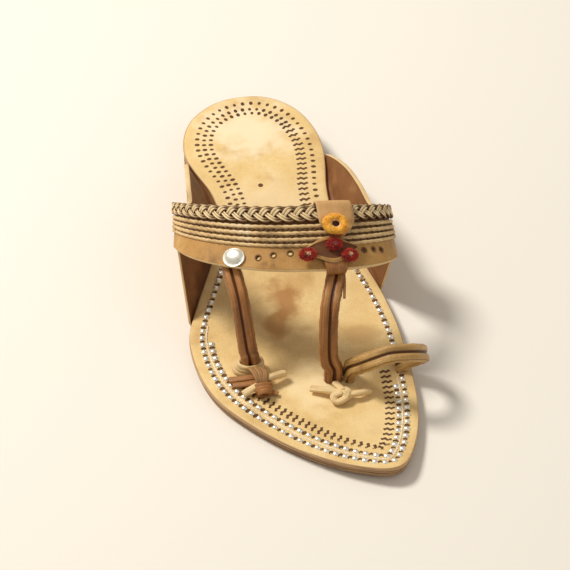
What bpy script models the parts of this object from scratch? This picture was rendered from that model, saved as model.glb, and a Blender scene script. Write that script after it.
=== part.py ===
"""A right-foot kolhapuri sandal: layered leather sole, eared instep band, toe straps and toe ring.

Metres, +Z up. The toe points to -Y and the big-toe side to +X. The sandal stands on z = 0.
"""

from math import cos, pi, radians, sin

import bmesh
import bpy
from mathutils import Matrix, Vector

# Driving sizes of the sole
SOLE_LENGTH = 0.2650
BALL_WIDTH = 0.1016
OUTSOLE_THICKNESS = 0.0018
MIDSOLE_THICKNESS = 0.0014
FOOTBED_THICKNESS = 0.0020
HEEL_LIFT_HEIGHT = 0.0092
TOE_SPRING = 0.0032
EDGE_CHAMFER = 0.0005
MIDSOLE_STEP = 0.0007
OUTSOLE_STEP = 0.0010
HEEL_LIFT_STEP = 0.0014

# Where the sole's underside changes, as shares of its length
HEEL_FLAT_SHARE = 0.24
FOREFOOT_SHARE = 0.58
SPRING_SHARE = 0.88

# Driving sizes of the upper
INSTEP_HEIGHT = 0.0690
EAR_WALL = 0.0022
BAND_WALL = 0.0028
CORD_RIDGE_HEIGHT = 0.0011
EAR_TUCK = 0.0040
EAR_TURN_OUT = 0.0034
EAR_TURN_UP = 0.0022
EAR_TURN_START = (0.40, 0.15)
EAR_TUCK_END_SHARE = 0.30
EAR_END_TURN = 0.12
EAR_REAR_BOW = 0.0062
EAR_SEAM_SHARE = 0.90
EYELET_RADIUS = 0.0011

# Plait along the band's rear edge
BRAID_BASE = 0.0007
BRAID_STRIP_RISE = 0.0013
BRAID_PITCH = 0.0052
BRAID_WIDTH_SHARE = 0.27
BRAID_REACH = 0.985
BRAID_SCALLOP = 0.10
BRAID_SLANT = 0.55
BRAID_MIDDLE_SHARE = 0.45
STRIP_COLUMNS = 3
BRAID_ROWS = (-1.0, -0.5, 0.0, 0.5, 1.0)

# Toe straps and toe ring, each a pair of rolled cords side by side
STRAP_CORD_RADIUS = 0.0025
RING_CORD_RADIUS = 0.0027
CORD_SPACING = 0.84
RING_RISE = 0.0260
STRAP_SPANS = 15
RING_SPANS = 30
LOBE_ANGLES = (-100, -50, 0, 50, 100)
FOOT_RISES = (3.0, 1.2, 0.0)

# Thongs knotted at the feet of the straps
THONG_RADIUS = 0.0014
WRAP_SIDES = 16
KNOT_RADIUS = 0.0032
TIE_SPREAD = 0.0140

# Ornaments on the band
DISC_RADIUS = 0.0054
DISC_DOME = 0.0021
TAB_WIDTH = 0.0160
TAB_WALL = 0.0012
FOLD_WIDTH = 0.0104
FOLD_WALL = 0.0013
ROSETTE_RADIUS = 0.0066
ROSETTE_HEIGHT = 0.0030
ROSETTE_EYE_RADIUS = 0.0021
ROSETTE_LOBES = 12
ROSETTE_LOBE_DEPTH = 0.05
ORNAMENT_SQUASH = 0.80
MEDALLION_LENGTH = 0.0260
MEDALLION_WIDTH = 0.0130
MEDALLION_WALL = 0.0012
POMPOM_RADIUS = 0.0037
POMPOM_HEIGHT = 0.0036
POMPOM_LOCKS = 8
POMPOM_LOCK_DEPTH = 0.08

# Clearance between pieces that touch
GAP = 0.0003

# Heights of the ornaments' undersides above the band's inner face
TAB_LIFT = BAND_WALL + GAP + BRAID_BASE + BRAID_STRIP_RISE + GAP
TAB_LOW_LIFT = BAND_WALL + CORD_RIDGE_HEIGHT + GAP
MEDALLION_LIFT = BAND_WALL + GAP + FOLD_WALL + GAP

# Outline of the sole, one row for each rib from the heel's back to the toe's tip. The along columns
# are shares of the sole's length and the out columns of the ball width. The cut columns say how far
# the footbed stands back at the waist, as shares of the ball width.
# Columns: lateral along, lateral out, lateral cut, medial along, medial out, medial cut
OUTLINE_ROWS = (
    (0.000, 0.010, 0.000, 0.000, -0.010, 0.000),
    (0.011, 0.155, 0.000, 0.010, 0.120, 0.000),
    (0.053, 0.287, 0.000, 0.050, 0.238, 0.000),
    (0.109, 0.347, 0.000, 0.113, 0.306, 0.000),
    (0.174, 0.367, 0.024, 0.185, 0.342, 0.022),
    (0.279, 0.318, 0.062, 0.297, 0.328, 0.044),
    (0.358, 0.335, 0.064, 0.370, 0.350, 0.038),
    (0.434, 0.395, 0.046, 0.445, 0.402, 0.030),
    (0.528, 0.482, 0.028, 0.536, 0.465, 0.026),
    (0.606, 0.518, 0.000, 0.640, 0.476, 0.000),
    (0.688, 0.510, 0.000, 0.736, 0.482, 0.000),
    (0.766, 0.452, 0.000, 0.819, 0.474, 0.000),
    (0.838, 0.322, 0.000, 0.883, 0.449, 0.000),
    (0.906, 0.155, 0.000, 0.932, 0.412, 0.000),
    (0.962, -0.030, 0.000, 0.970, 0.368, 0.000),
    (0.992, -0.185, 0.000, 0.993, 0.325, 0.000),
    (1.000, -0.265, 0.000, 1.000, 0.265, 0.000),
)
TOE_ROW = len(OUTLINE_ROWS) - 1
RIB_TRIM = 0.10
SOLE_RIBS = 34
HEEL_RIBS = 14
HEEL_BREAST_ROW = 4.80
NOTCH_RUN = 0.14
NOTCH_RAMP = 0.06

# Both ends of the upper. The feet are rows of the outline where the ear's foot begins and ends. The
# corners are out as a share of the ball width, along of the sole's length, up of the instep's height.
EAR_FEET = {"lateral": (3.98, 8.40), "medial": (4.05, 7.90)}
EAR_TOPS = {
    "lateral": ((-0.405, 0.370, 0.540), (-0.510, 0.494, 0.500)),
    "medial": ((0.418, 0.432, 0.560), (0.462, 0.562, 0.470)),
}
BAND_ENDS = {
    "lateral": ((-0.462, 0.392, 0.620), (-0.512, 0.490, 0.550)),
    "medial": ((0.458, 0.462, 0.625), (0.468, 0.568, 0.530)),
}
BAND_CROWN = ((-0.010, 0.545, 1.000), (0.020, 0.650, 0.770))
BAND_SKEW = 0.0030

# Lines across the band from its rear edge to its front edge, with the share of a cord ridge's height
BAND_LINES = (
    (0.000, 0.0), (0.090, 0.0), (0.180, 0.0), (0.275, 0.0), (0.325, 1.0), (0.378, 0.0), (0.430, 1.0), (0.480, 0.0),
    (0.530, 1.0), (0.577, 0.0), (0.620, 0.8), (0.660, 0.0), (0.740, 0.0), (0.820, 0.0), (0.910, 0.0), (1.000, 0.0),
)
EAR_LINES = (0.25, 0.50, 0.75, 1.00)
BAND_COLUMNS = 32

# Punched eyelets in the plain strip: place across the band, from -1 lateral to 1 medial, and down it
EYELET_PLACES = ((-0.247, 0.820), (-0.159, 0.768), (-0.063, 0.735), (0.434, 0.746), (0.520, 0.752), (0.600, 0.780))

# Toe straps: place across the band, then the bend and the foot as out, along and up
STRAP_TOPS = {"lateral": -0.440, "medial": 0.215}
STRAP_TOP_DOWN = (0.66, 0.99)
STRAP_BENDS = {
    "lateral": ((-0.290, 0.652, 0.560), (-0.272, 0.688, 0.260)),
    "medial": ((0.105, 0.712, 0.600), (0.088, 0.742, 0.300)),
}
STRAP_FEET = {"lateral": (-0.264, 0.697), "medial": (0.108, 0.749)}

# Centre line of the toe ring: out as a share of the ball width, along of the sole's length, up of its rise
RING_FEET = ((0.180, 0.748), (0.435, 0.738))
RING_ROWS = (
    (0.190, 0.758, 0.34), (0.226, 0.776, 0.57), (0.281, 0.793, 0.82), (0.347, 0.803, 1.00), (0.419, 0.800, 0.96),
    (0.486, 0.787, 0.80), (0.524, 0.767, 0.56), (0.505, 0.748, 0.33),
)

# Knots of the tied thongs, from the strap's foot: out, along and up as shares of the tie's spread, then
# the width, length and height as shares of the knot's radius
TIE_KNOTS = {"lateral": ((0.14, 1.02, 0.21), (1.00, 1.60, 0.85)), "medial": ((0.24, 0.95, 0.22), (1.15, 1.00, 0.95))}

# Strands of each tied thong, from the strap's foot: out, along and up as shares of the tie's spread
TIE_STRANDS = {
    "lateral": (
        ((0.08, 0.36, 0.14), (0.12, 0.68, 0.22), (0.14, 1.00, 0.24)),
        ((0.10, 0.80, 0.22), (-0.34, 0.64, 0.16), (-0.86, 0.62, 0.11)),
        ((0.20, 0.85, 0.24), (0.58, 0.82, 0.18), (1.00, 0.74, 0.12)),
        ((0.10, 1.00, 0.24), (-0.20, 1.10, 0.16), (-0.52, 1.18, 0.11)),
    ),
    "medial": (
        ((0.00, 0.34, 0.11), (0.10, 0.60, 0.14), (0.22, 0.92, 0.24)),
        ((0.22, 0.92, 0.24), (-0.28, 0.74, 0.16), (-0.80, 0.48, 0.11)),
        ((0.22, 0.92, 0.24), (0.65, 1.00, 0.18), (1.12, 0.90, 0.11)),
        ((0.14, 0.94, 0.24), (-0.20, 1.10, 0.14), (-0.04, 1.30, 0.11), (0.24, 1.18, 0.14), (0.26, 0.94, 0.24)),
    ),
}

# Places of the ornaments on the band: across and down
DISC_PLACE = (-0.390, 0.855)
TAB_ACROSS = 0.262
ROSETTE_PLACE = (0.232, 0.365)
MEDALLION_PLACE = (0.188, 0.722)
FOLD_ACROSS = 0.200
STRIP_OFFS = (-1.0, -0.5, 0.0, 0.5, 1.0)
LOZENGE_OFFS = (-1.0, -0.75, -0.5, -0.25, 0.0, 0.25, 0.5, 0.75, 1.0)
POMPOM_PLACES = ((0.206, 0.661), (0.030, 0.800), (0.290, 0.848))


def smooth_path(points, count):
    """Points evenly spaced in rows along a smooth curve through the given points."""
    path = []
    for index in range(count + 1):
        position = (len(points) - 1) * index / count
        first = min(int(position), len(points) - 2)
        rows = [points[min(max(first + step, 0), len(points) - 1)] for step in (-1, 0, 1, 2)]
        path.append(blend_rows(*rows, position - first))
    return path


def blend_rows(before, start, end, after, share):
    """Smooth value between two rows, led by the rows around them."""
    bend = 2 * before - 5 * start + 4 * end - after
    twist = 3 * (start - end) + after - before
    return start + 0.5 * share * (end - before + share * (bend + share * twist))


def outline_loop():
    """The sole's outline as one loop: heel to toe on the lateral side, then back on the medial side."""
    lateral, medial = [], []
    for row in OUTLINE_ROWS:
        lateral.append(Vector((-row[1] * BALL_WIDTH, row[0] * SOLE_LENGTH, row[2] * BALL_WIDTH)))
        medial.append(Vector((row[4] * BALL_WIDTH, row[3] * SOLE_LENGTH, row[5] * BALL_WIDTH)))
    return lateral + medial[-2:0:-1]


OUTLINE = outline_loop()


def outline_value(position):
    """Point of the outline loop: x, distance from the heel's back and waist cut."""
    first = int(position // 1)
    rows = [OUTLINE[(first + step) % len(OUTLINE)] for step in (-1, 0, 1, 2)]
    return blend_rows(*rows, position - first)


def edge_point(side, row, inset, waisted):
    """Point of one side's edge at a row, moved inwards: x and distance from the heel's back."""
    position = row if side == "lateral" else len(OUTLINE) - row
    point = outline_value(position)
    run = outline_value(position + 0.05) - outline_value(position - 0.05)
    inward = Vector((run.y, -run.x)).normalized()
    shift = inset + (max(point.z, 0.0) if waisted else 0.0)
    return point.x + inward.x * shift, point.y + inward.y * shift


def place(out, along, up):
    """World point from x, distance from the heel's back and height."""
    return Vector((out, SOLE_LENGTH / 2 - along, up))


def along_of(point):
    """Distance of a world point from the heel's back."""
    return SOLE_LENGTH / 2 - point.y


def smooth_step(share):
    """Smooth ramp from 0 to 1."""
    share = min(max(share, 0.0), 1.0)
    return share * share * (3 - 2 * share)


def sole_underside(along):
    """Height of the outsole's underside: heel seat, shank, flat forefoot and toe spring."""
    share = along / SOLE_LENGTH
    drop = smooth_step((share - HEEL_FLAT_SHARE) / (FOREFOOT_SHARE - HEEL_FLAT_SHARE))
    spring = max(0.0, (share - SPRING_SHARE) / (1 - SPRING_SHARE))
    return (HEEL_LIFT_HEIGHT + GAP) * (1 - drop) + TOE_SPRING * spring * spring


def outsole_top(along):
    """Height of the outsole's upper face."""
    return sole_underside(along) + OUTSOLE_THICKNESS


def midsole_bottom(along):
    """Height of the midsole's lower face."""
    return outsole_top(along) + GAP


def midsole_top(along):
    """Height of the midsole's upper face, which is also that of the ears' tucked feet."""
    return midsole_bottom(along) + MIDSOLE_THICKNESS


def footbed_bottom(along):
    """Height of the footbed's lower face."""
    return midsole_top(along) + GAP


def footbed_top(along):
    """Height of the face that the foot stands on."""
    return footbed_bottom(along) + FOOTBED_THICKNESS


def floor_level(_along):
    """Height of the floor, where the heel stands."""
    return 0.0


def heel_seat(along):
    """Height of the heel lift's upper face."""
    return sole_underside(along) - GAP


def leather(name, colour, roughness, metallic=0.0):
    """Plain material of one finish."""
    material = bpy.data.materials.new(name)
    material.use_nodes = True
    shader = material.node_tree.nodes["Principled BSDF"]
    shader.inputs["Base Color"].default_value = (*colour, 1.0)
    shader.inputs["Roughness"].default_value = roughness
    shader.inputs["Metallic"].default_value = metallic
    return material


def new_object(name, bm, material, collection="kolhapuri_sandal"):
    """Mesh object of the sandal, shaded smooth but for its edges."""
    mesh = bpy.data.meshes.new(name)
    bm.to_mesh(mesh)
    bm.free()
    mesh.shade_smooth()
    mesh.set_sharp_from_angle(angle=radians(35))
    mesh.materials.append(material)
    piece = bpy.data.objects.new(name, mesh)
    piece.parent = bpy.data.objects["sandal_origin"]
    bpy.data.collections[collection].objects.link(piece)
    return piece


def add_modifier(piece, kind, name, **values):
    """Modifier with its settings."""
    modifier = piece.modifiers.new(name, kind)
    for key, value in values.items():
        setattr(modifier, key, value)
    return modifier


def loft(sections, looped=False):
    """Closed body through closed sections of equal length, capped at both ends unless it is a loop."""
    bm = bmesh.new()
    rings = [[bm.verts.new(point) for point in section] for section in sections]
    following = rings[1:] + rings[:1] if looped else rings[1:]
    for ring, other in zip(rings, following):
        for index, corner in enumerate(ring):
            after = (index + 1) % len(ring)
            bm.faces.new((corner, ring[after], other[after], other[index]))
    if not looped:
        bm.faces.new(rings[0])
        bm.faces.new(rings[-1])
    bmesh.ops.recalc_face_normals(bm, faces=bm.faces)
    return bm


def tuck_depth(share):
    """How far an ear's foot reaches in under the footbed, from its rear end (0) to its front end (1)."""
    return EAR_TUCK * (EAR_TUCK_END_SHARE + (1 - EAR_TUCK_END_SHARE) * sin(pi * share))


def notch_depth(side, row):
    """Extra cut of the midsole that lets an ear's foot in."""
    rear, front = EAR_FEET[side]
    ramp = min(row - rear, front - row) + NOTCH_RUN
    share = min(max((row - rear) / (front - rear), 0.0), 1.0)
    return min(max(ramp / NOTCH_RAMP, 0.0), 1.0) * (tuck_depth(share) + GAP)


def layer_section(row, bottom, top, step, waisted, notched):
    """One closed rib of a sole layer, from edge to edge, with its upper edges chamfered."""
    rims = {}
    for side in EAR_FEET:
        inset = step + (notch_depth(side, row) if notched else 0.0)
        edge = edge_point(side, row, inset, waisted)
        shoulder = edge_point(side, row, inset + EDGE_CHAMFER, waisted)
        rims[side] = [
            place(*edge, bottom(edge[1])),
            place(*edge, top(edge[1]) - EDGE_CHAMFER),
            place(*shoulder, top(shoulder[1])),
        ]
    middle = (rims["lateral"][2] + rims["medial"][2]) / 2
    crown = place(middle.x, along_of(middle), top(along_of(middle)))
    keel = place(middle.x, along_of(middle), bottom(along_of(middle)))
    return rims["lateral"] + [crown] + rims["medial"][::-1] + [keel]


def sole_layer(name, material, bottom, top, step=0.0, waisted=False, notched=False, last=TOE_ROW - RIB_TRIM,
               ribs=SOLE_RIBS):
    """One leather layer of the sole between two height functions."""
    rows = [RIB_TRIM + (last - RIB_TRIM) * index / ribs for index in range(ribs + 1)]
    if notched:
        for rear, front in EAR_FEET.values():
            for reach in (NOTCH_RUN, NOTCH_RUN - NOTCH_RAMP):
                rows += [rear - reach, front + reach]
    sections = [layer_section(row, bottom, top, step, waisted, notched) for row in sorted(rows)]
    return new_object(name, loft(sections), material)


def corner_point(corner):
    """World point of an upper's corner given in shares."""
    out, along, up = corner
    return place(out * BALL_WIDTH, along * SOLE_LENGTH, up * INSTEP_HEIGHT)


def band_point(across, down):
    """Point of the band's inner face: across from -1 lateral to 1 medial, down from rear to front edge."""
    reach, rise = abs(sin(across * pi / 2)), cos(across * pi / 2)
    edges = []
    for crown, end in zip(BAND_CROWN, BAND_ENDS["lateral" if across < 0 else "medial"]):
        top, foot = corner_point(crown), corner_point(end)
        edges.append(Vector((
            top.x + (foot.x - top.x) * reach,
            foot.y + (top.y - foot.y) * rise - BAND_SKEW * sin(pi * across),
            foot.z + (top.z - foot.z) * rise,
        )))
    return edges[0].lerp(edges[1], down)


def band_frame(across, down, lift):
    """Frame on the band: a point at a lift above its inner face, with across, down and outward axes."""
    step = 0.01
    run = (band_point(across + step, down) - band_point(across - step, down)).normalized()
    fall = band_point(across, down + step) - band_point(across, down - step)
    outward = fall.cross(run).normalized()
    outward = outward if outward.z > 0 else -outward
    point = band_point(across, down) + outward * lift
    return Matrix.Translation(point) @ Matrix((run, outward.cross(run), outward)).transposed().to_4x4()


def on_band(across, down, lift):
    """World point at a lift above the band's inner face."""
    return band_frame(across, down, lift).translation


def ear_lines(side):
    """Lines of an ear's inner face from its tucked foot up to the seam with the band, with their walls."""
    rear, front = EAR_FEET[side]
    shares = [share for share, _ in BAND_LINES]
    feet = [rear + (front - rear) * share for share in shares]

    def foot_line(outs, up):
        line = []
        for share, row, out in zip(shares, feet, outs):
            x, along = edge_point(side, row, -out, waisted=True)
            line.append(place(x, along, midsole_top(along) + up))
        return line

    spread = [EAR_END_TURN + (1 - EAR_END_TURN) * sin(pi * share) for share in shares]
    tucked = foot_line([-tuck_depth(share) for share in shares], 0.0)
    edge = foot_line([0.0 for _ in shares], 0.0)
    out_share, up_share = EAR_TURN_START
    turning = foot_line([GAP + out_share * EAR_TURN_OUT * value for value in spread], up_share * EAR_TURN_UP)
    turned = foot_line([GAP + EAR_TURN_OUT * value for value in spread], EAR_TURN_UP)
    lines = [(tucked, MIDSOLE_THICKNESS), (edge, MIDSOLE_THICKNESS), (turning, MIDSOLE_THICKNESS), (turned, EAR_WALL)]
    top_rear, top_front = (corner_point(corner) for corner in EAR_TOPS[side])
    for rise in EAR_LINES:
        line = []
        for share, low in zip(shares, turned):
            point = low.lerp(top_rear.lerp(top_front, share), rise)
            point.z += EAR_REAR_BOW * sin(pi * rise) * (1 - share) ** 2
            line.append(point)
        lines.append((line, EAR_WALL))
    end = [band_point(-1 if side == "lateral" else 1, share) for share in shares]
    seam = [low.lerp(high, EAR_SEAM_SHARE) for low, high in zip(lines[-1][0], end)]
    return lines + [(seam, EAR_WALL)]


def upper(material):
    """Ears and instep band as one leather wall, with four cord ridges and punched eyelets."""
    shares = [share for share, _ in BAND_LINES]
    lines = ear_lines("lateral")
    for index in range(BAND_COLUMNS + 1):
        across = -1 + 2 * index / BAND_COLUMNS
        lines.append(([band_point(across, share) for share in shares], None))
    lines += ear_lines("medial")[::-1]

    bm = bmesh.new()
    grid = [[bm.verts.new(point) for point in line] for line, _ in lines]
    for line, other in zip(grid, grid[1:]):
        for index in range(len(shares) - 1):
            bm.faces.new((line[index], line[index + 1], other[index + 1], other[index]))
    piece = new_object("upper", bm, material)
    thickest = BAND_WALL + CORD_RIDGE_HEIGHT
    walls = piece.vertex_groups.new(name="wall")
    number = 0
    for _, wall in lines:
        for _, ridge in BAND_LINES:
            thickness = wall if wall else BAND_WALL + ridge * CORD_RIDGE_HEIGHT
            walls.add([number], thickness / thickest, "REPLACE")
            number += 1
    add_modifier(piece, "SOLIDIFY", "wall", thickness=thickest, offset=1.0, vertex_group="wall",
                 use_quality_normals=True)
    for index, (across, down) in enumerate(EYELET_PLACES):
        cutter = bmesh.new()
        frame = band_frame(across, down, BAND_WALL / 2)
        bmesh.ops.create_cone(cutter, cap_ends=True, segments=8, radius1=EYELET_RADIUS, radius2=EYELET_RADIUS,
                              depth=3 * BAND_WALL, matrix=frame)
        punch = new_object(f"eyelet_punch_{index + 1}", cutter, material, "sandal_cutters")
        punch.hide_render = True
        punch.display_type = "WIRE"
        add_modifier(piece, "BOOLEAN", punch.name, object=punch, operation="DIFFERENCE", solver="EXACT")
    return piece


def skin(name, material, grid, wall_of, widest):
    """Thin wall over an open grid of points, growing outwards by its own thickness at each point."""
    bm = bmesh.new()
    rows = [[bm.verts.new(point) for point in row] for row in grid]
    for row, other in zip(rows, rows[1:]):
        for index in range(len(row) - 1):
            bm.faces.new((row[index], row[index + 1], other[index + 1], other[index]))
    piece = new_object(name, bm, material)
    walls = piece.vertex_groups.new(name="wall")
    width = len(grid[0])
    for number in range(len(grid) * width):
        walls.add([number], wall_of(number // width, number % width) / widest, "REPLACE")
    add_modifier(piece, "SOLIDIFY", "wall", thickness=widest, offset=1.0, vertex_group="wall")
    return piece


def band_length():
    """Length of the band's outer face along its braid."""
    points = [on_band(-1 + index / 20, BRAID_WIDTH_SHARE / 2, BAND_WALL) for index in range(41)]
    return sum((after - before).length for before, after in zip(points, points[1:]))


def strip_rise(column, off):
    """Share of a raised strip's height in the herringbone, at a column and at a place off its middle."""
    strip = 0.5 - 0.5 * cos(2 * pi * (column / STRIP_COLUMNS - BRAID_SLANT * abs(off)))
    return strip if off else BRAID_MIDDLE_SHARE * strip


def plaited_braid(material):
    """The plait: one wall with a herringbone of raised strips."""
    columns = round(band_length() / BRAID_PITCH) * STRIP_COLUMNS
    grid = []
    for column in range(columns + 1):
        across = (2 * column / columns - 1) * BRAID_REACH
        line = []
        for off in BRAID_ROWS:
            scallop = 1 + BRAID_SCALLOP * strip_rise(column, off) * abs(off)
            line.append(on_band(across, BRAID_WIDTH_SHARE / 2 * (1 + off * scallop), BAND_WALL + GAP))
        grid.append(line)
    return skin("plaited_braid", material, grid,
                lambda column, row: BRAID_BASE + BRAID_STRIP_RISE * strip_rise(column, BRAID_ROWS[row]),
                BRAID_BASE + BRAID_STRIP_RISE)


def cord_pair_section(radius):
    """Section of two rolled cords side by side, whose lobes meet in a groove."""
    spacing = CORD_SPACING * radius
    angles = [radians(angle) for angle in LOBE_ANGLES]
    lobe = [(spacing + radius * cos(angle), radius * sin(angle)) for angle in angles]
    groove = (1 - CORD_SPACING ** 2) ** 0.5 * radius
    return [(0.0, -groove)] + lobe + [(0.0, groove)] + [(-x, -y) for x, y in lobe]


def cord_pair(name, material, path, radius, sideways, standing):
    """Two rolled cords side by side along a path, whose sideways direction turns from start to end.

    An end that stands on the footbed is cut level.
    """
    sections = []
    for index, point in enumerate(path):
        run = path[min(index + 1, len(path) - 1)] - path[max(index - 1, 0)]
        run = Vector((0, 0, run.z)).normalized() if point in standing else run.normalized()
        level = sideways[0].lerp(sideways[1], index / (len(path) - 1))
        side = (level - run * level.dot(run)).normalized()
        face = run.cross(side)
        sections.append([point + side * x + face * y for x, y in cord_pair_section(radius)])
    return new_object(name, loft(sections), material)


def seat_on_footbed(foot, rise=0.0):
    """World point at a rise above the footbed, a gap clear of it, from a foot's two shares."""
    along = foot[1] * SOLE_LENGTH
    return place(foot[0] * BALL_WIDTH, along, footbed_top(along) + GAP + rise)


def toe_strap(side, material):
    """A doubled strap from under the band's front edge down to the footbed."""
    clear = -(GAP + STRAP_CORD_RADIUS)
    points = [on_band(STRAP_TOPS[side], down, clear) for down in STRAP_TOP_DOWN]
    points += [corner_point(bend) for bend in STRAP_BENDS[side]]
    points += [seat_on_footbed(STRAP_FEET[side], rise * STRAP_CORD_RADIUS) for rise in FOOT_RISES]
    sideways = (band_frame(STRAP_TOPS[side], STRAP_TOP_DOWN[1], 0.0).col[0].xyz, Vector((1, 0, 0)))
    return cord_pair(f"strap_{side}", material, smooth_path(points, STRAP_SPANS), STRAP_CORD_RADIUS, sideways,
                     standing=points[-1:])


def toe_ring(material):
    """The big-toe loop of two rolled cords, leaning forward over the footbed."""
    start, end = RING_FEET
    points = [seat_on_footbed(start, rise * RING_CORD_RADIUS) for rise in FOOT_RISES[:0:-1]]
    points += [seat_on_footbed((out, along), up * RING_RISE) for out, along, up in RING_ROWS]
    points += [seat_on_footbed(end, rise * RING_CORD_RADIUS) for rise in FOOT_RISES[1:]]
    crown = points[len(points) // 2]
    sideways = (crown - points[0]).cross(points[-1] - points[0]).normalized()
    return cord_pair("toe_ring", material, smooth_path(points, RING_SPANS), RING_CORD_RADIUS, (sideways, sideways),
                     standing=(points[0], points[-1]))


def tube(name, points, material, looped=False):
    """Round thong along a path, as a mesh with its caps welded."""
    curve = bpy.data.curves.new(name, "CURVE")
    curve.dimensions = "3D"
    curve.bevel_depth = THONG_RADIUS
    curve.bevel_resolution = 1
    curve.use_fill_caps = True
    spline = curve.splines.new("POLY")
    spline.points.add(len(points) - 1)
    for control, point in zip(spline.points, points):
        control.co = (*point, 1.0)
    spline.use_cyclic_u = looped
    wire = bpy.data.objects.new(name + "_curve", curve)
    bpy.data.collections["sandal_cutters"].objects.link(wire)
    mesh = bpy.data.meshes.new_from_object(wire.evaluated_get(bpy.context.evaluated_depsgraph_get()))
    bpy.data.objects.remove(wire)
    bm = bmesh.new()
    bm.from_mesh(mesh)
    bmesh.ops.remove_doubles(bm, verts=bm.verts, dist=0.00001)
    bmesh.ops.recalc_face_normals(bm, faces=bm.faces)
    piece = new_object(name, bm, material, "sandal_cutters")
    piece.hide_render = True
    piece.display_type = "WIRE"
    return piece


def tie(side, material):
    """A pale thong knotted at a strap's foot: knot, ends and loops joined in one solid."""
    foot = STRAP_FEET[side]

    def strand_point(shares):
        point = seat_on_footbed(foot, shares[2] * TIE_SPREAD)
        return point + Vector((shares[0] * TIE_SPREAD, -shares[1] * TIE_SPREAD, 0))

    bm = bmesh.new()
    shares, shape = TIE_KNOTS[side]
    knot_place = Matrix.Translation(strand_point(shares)) @ Matrix.Diagonal((*shape, 1))
    bmesh.ops.create_uvsphere(bm, u_segments=12, v_segments=8, radius=KNOT_RADIUS, matrix=knot_place)
    knot = new_object(f"tie_{side}", bm, material)
    for index, strand in enumerate(TIE_STRANDS[side]):
        points = smooth_path([strand_point(shares) for shares in strand], 3 * (len(strand) - 1))
        end = tube(f"strand_{side}_{index + 1}", points, material)
        add_modifier(knot, "BOOLEAN", end.name, object=end, operation="UNION", solver="EXACT")
    if side == "lateral":
        clear = GAP + THONG_RADIUS
        width = (1 + CORD_SPACING) * STRAP_CORD_RADIUS + clear
        depth = STRAP_CORD_RADIUS + clear + GAP
        centre = seat_on_footbed(foot, THONG_RADIUS)
        turns = [centre + Vector((width * cos(angle), depth * sin(angle), 0))
                 for angle in (2 * pi * step / WRAP_SIDES for step in range(WRAP_SIDES))]
        wrap = tube("wrap_lateral", turns, material, looped=True)
        add_modifier(knot, "BOOLEAN", wrap.name, object=wrap, operation="UNION", solver="EXACT")
    return knot


def turned(name, material, profile, frame, segments, lobes=0, depth=0.0):
    """Solid spun from a profile of radius and height, with its rim in lobes."""
    bm = bmesh.new()
    corners = [bm.verts.new((radius, 0, height)) for radius, height in profile]
    edges = [bm.edges.new(pair) for pair in zip(corners, corners[1:])]
    bmesh.ops.spin(bm, geom=corners + edges, axis=(0, 0, 1), angle=2 * pi, steps=segments)
    bmesh.ops.remove_doubles(bm, verts=bm.verts, dist=0.00001)
    reach = max(radius for radius, _ in profile)
    for vertex in bm.verts:
        radius = vertex.co.xy.length
        if lobes and radius > reach / 3:
            angle = Vector((1, 0)).angle_signed(vertex.co.xy)
            swell = 1 + depth * cos(lobes * angle)
            vertex.co.x *= swell
            vertex.co.y *= swell
    bm.transform(frame)
    bmesh.ops.recalc_face_normals(bm, faces=bm.faces)
    return new_object(name, bm, material)


def stud_disc(material):
    """The silver domed disc over the lateral strap's top."""
    profile = [(0.0, DISC_DOME), (0.45 * DISC_RADIUS, 0.90 * DISC_DOME), (0.80 * DISC_RADIUS, 0.55 * DISC_DOME),
               (DISC_RADIUS, 0.20 * DISC_DOME), (DISC_RADIUS, 0.0), (0.0, 0.0)]
    return turned("stud_disc", material, profile, band_frame(*DISC_PLACE, BAND_WALL + GAP), 20)


def squashed(place_on_band, lift):
    """Frame on the band for an ornament that is wider across the band than down it."""
    return band_frame(*place_on_band, lift) @ Matrix.Diagonal((1, ORNAMENT_SQUASH, 1, 1))


def rosette(material):
    """The orange-yellow rosette on the keeper tab, with an open eye."""
    top = ROSETTE_HEIGHT
    profile = [(0.0, 0.45 * top), (ROSETTE_EYE_RADIUS, 0.45 * top), (1.25 * ROSETTE_EYE_RADIUS, 0.95 * top),
               (0.55 * ROSETTE_RADIUS, top), (0.85 * ROSETTE_RADIUS, 0.80 * top), (ROSETTE_RADIUS, 0.35 * top),
               (0.92 * ROSETTE_RADIUS, 0.0), (0.0, 0.0)]
    frame = squashed(ROSETTE_PLACE, TAB_LIFT + TAB_WALL + GAP)
    return turned("rosette", material, profile, frame, 2 * ROSETTE_LOBES, ROSETTE_LOBES, ROSETTE_LOBE_DEPTH)


def pompom(index, material):
    """One red pompom of short locks round a pale middle."""
    profile = [(0.0, 0.86), (0.30, 0.80), (0.42, 1.00), (0.72, 0.92), (0.96, 0.62), (1.00, 0.32), (0.80, 0.0), (0.0, 0.0)]
    profile = [(radius * POMPOM_RADIUS, height * POMPOM_HEIGHT) for radius, height in profile]
    frame = squashed(POMPOM_PLACES[index], MEDALLION_LIFT + MEDALLION_WALL + GAP)
    return turned(f"pompom_{index + 1}", material, profile, frame, 2 * POMPOM_LOCKS, POMPOM_LOCKS,
                  POMPOM_LOCK_DEPTH)


def band_strip(name, material, across, width, rows, wall):
    """Leather strip over the band: rows of place down the band, lift and share of its width."""
    grid = []
    for down, lift, share in rows:
        reach = share * width / band_length()
        grid.append([on_band(across - off * reach, down, lift) for off in STRIP_OFFS])
    return skin(name, material, grid, lambda row, column: wall, wall)


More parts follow.
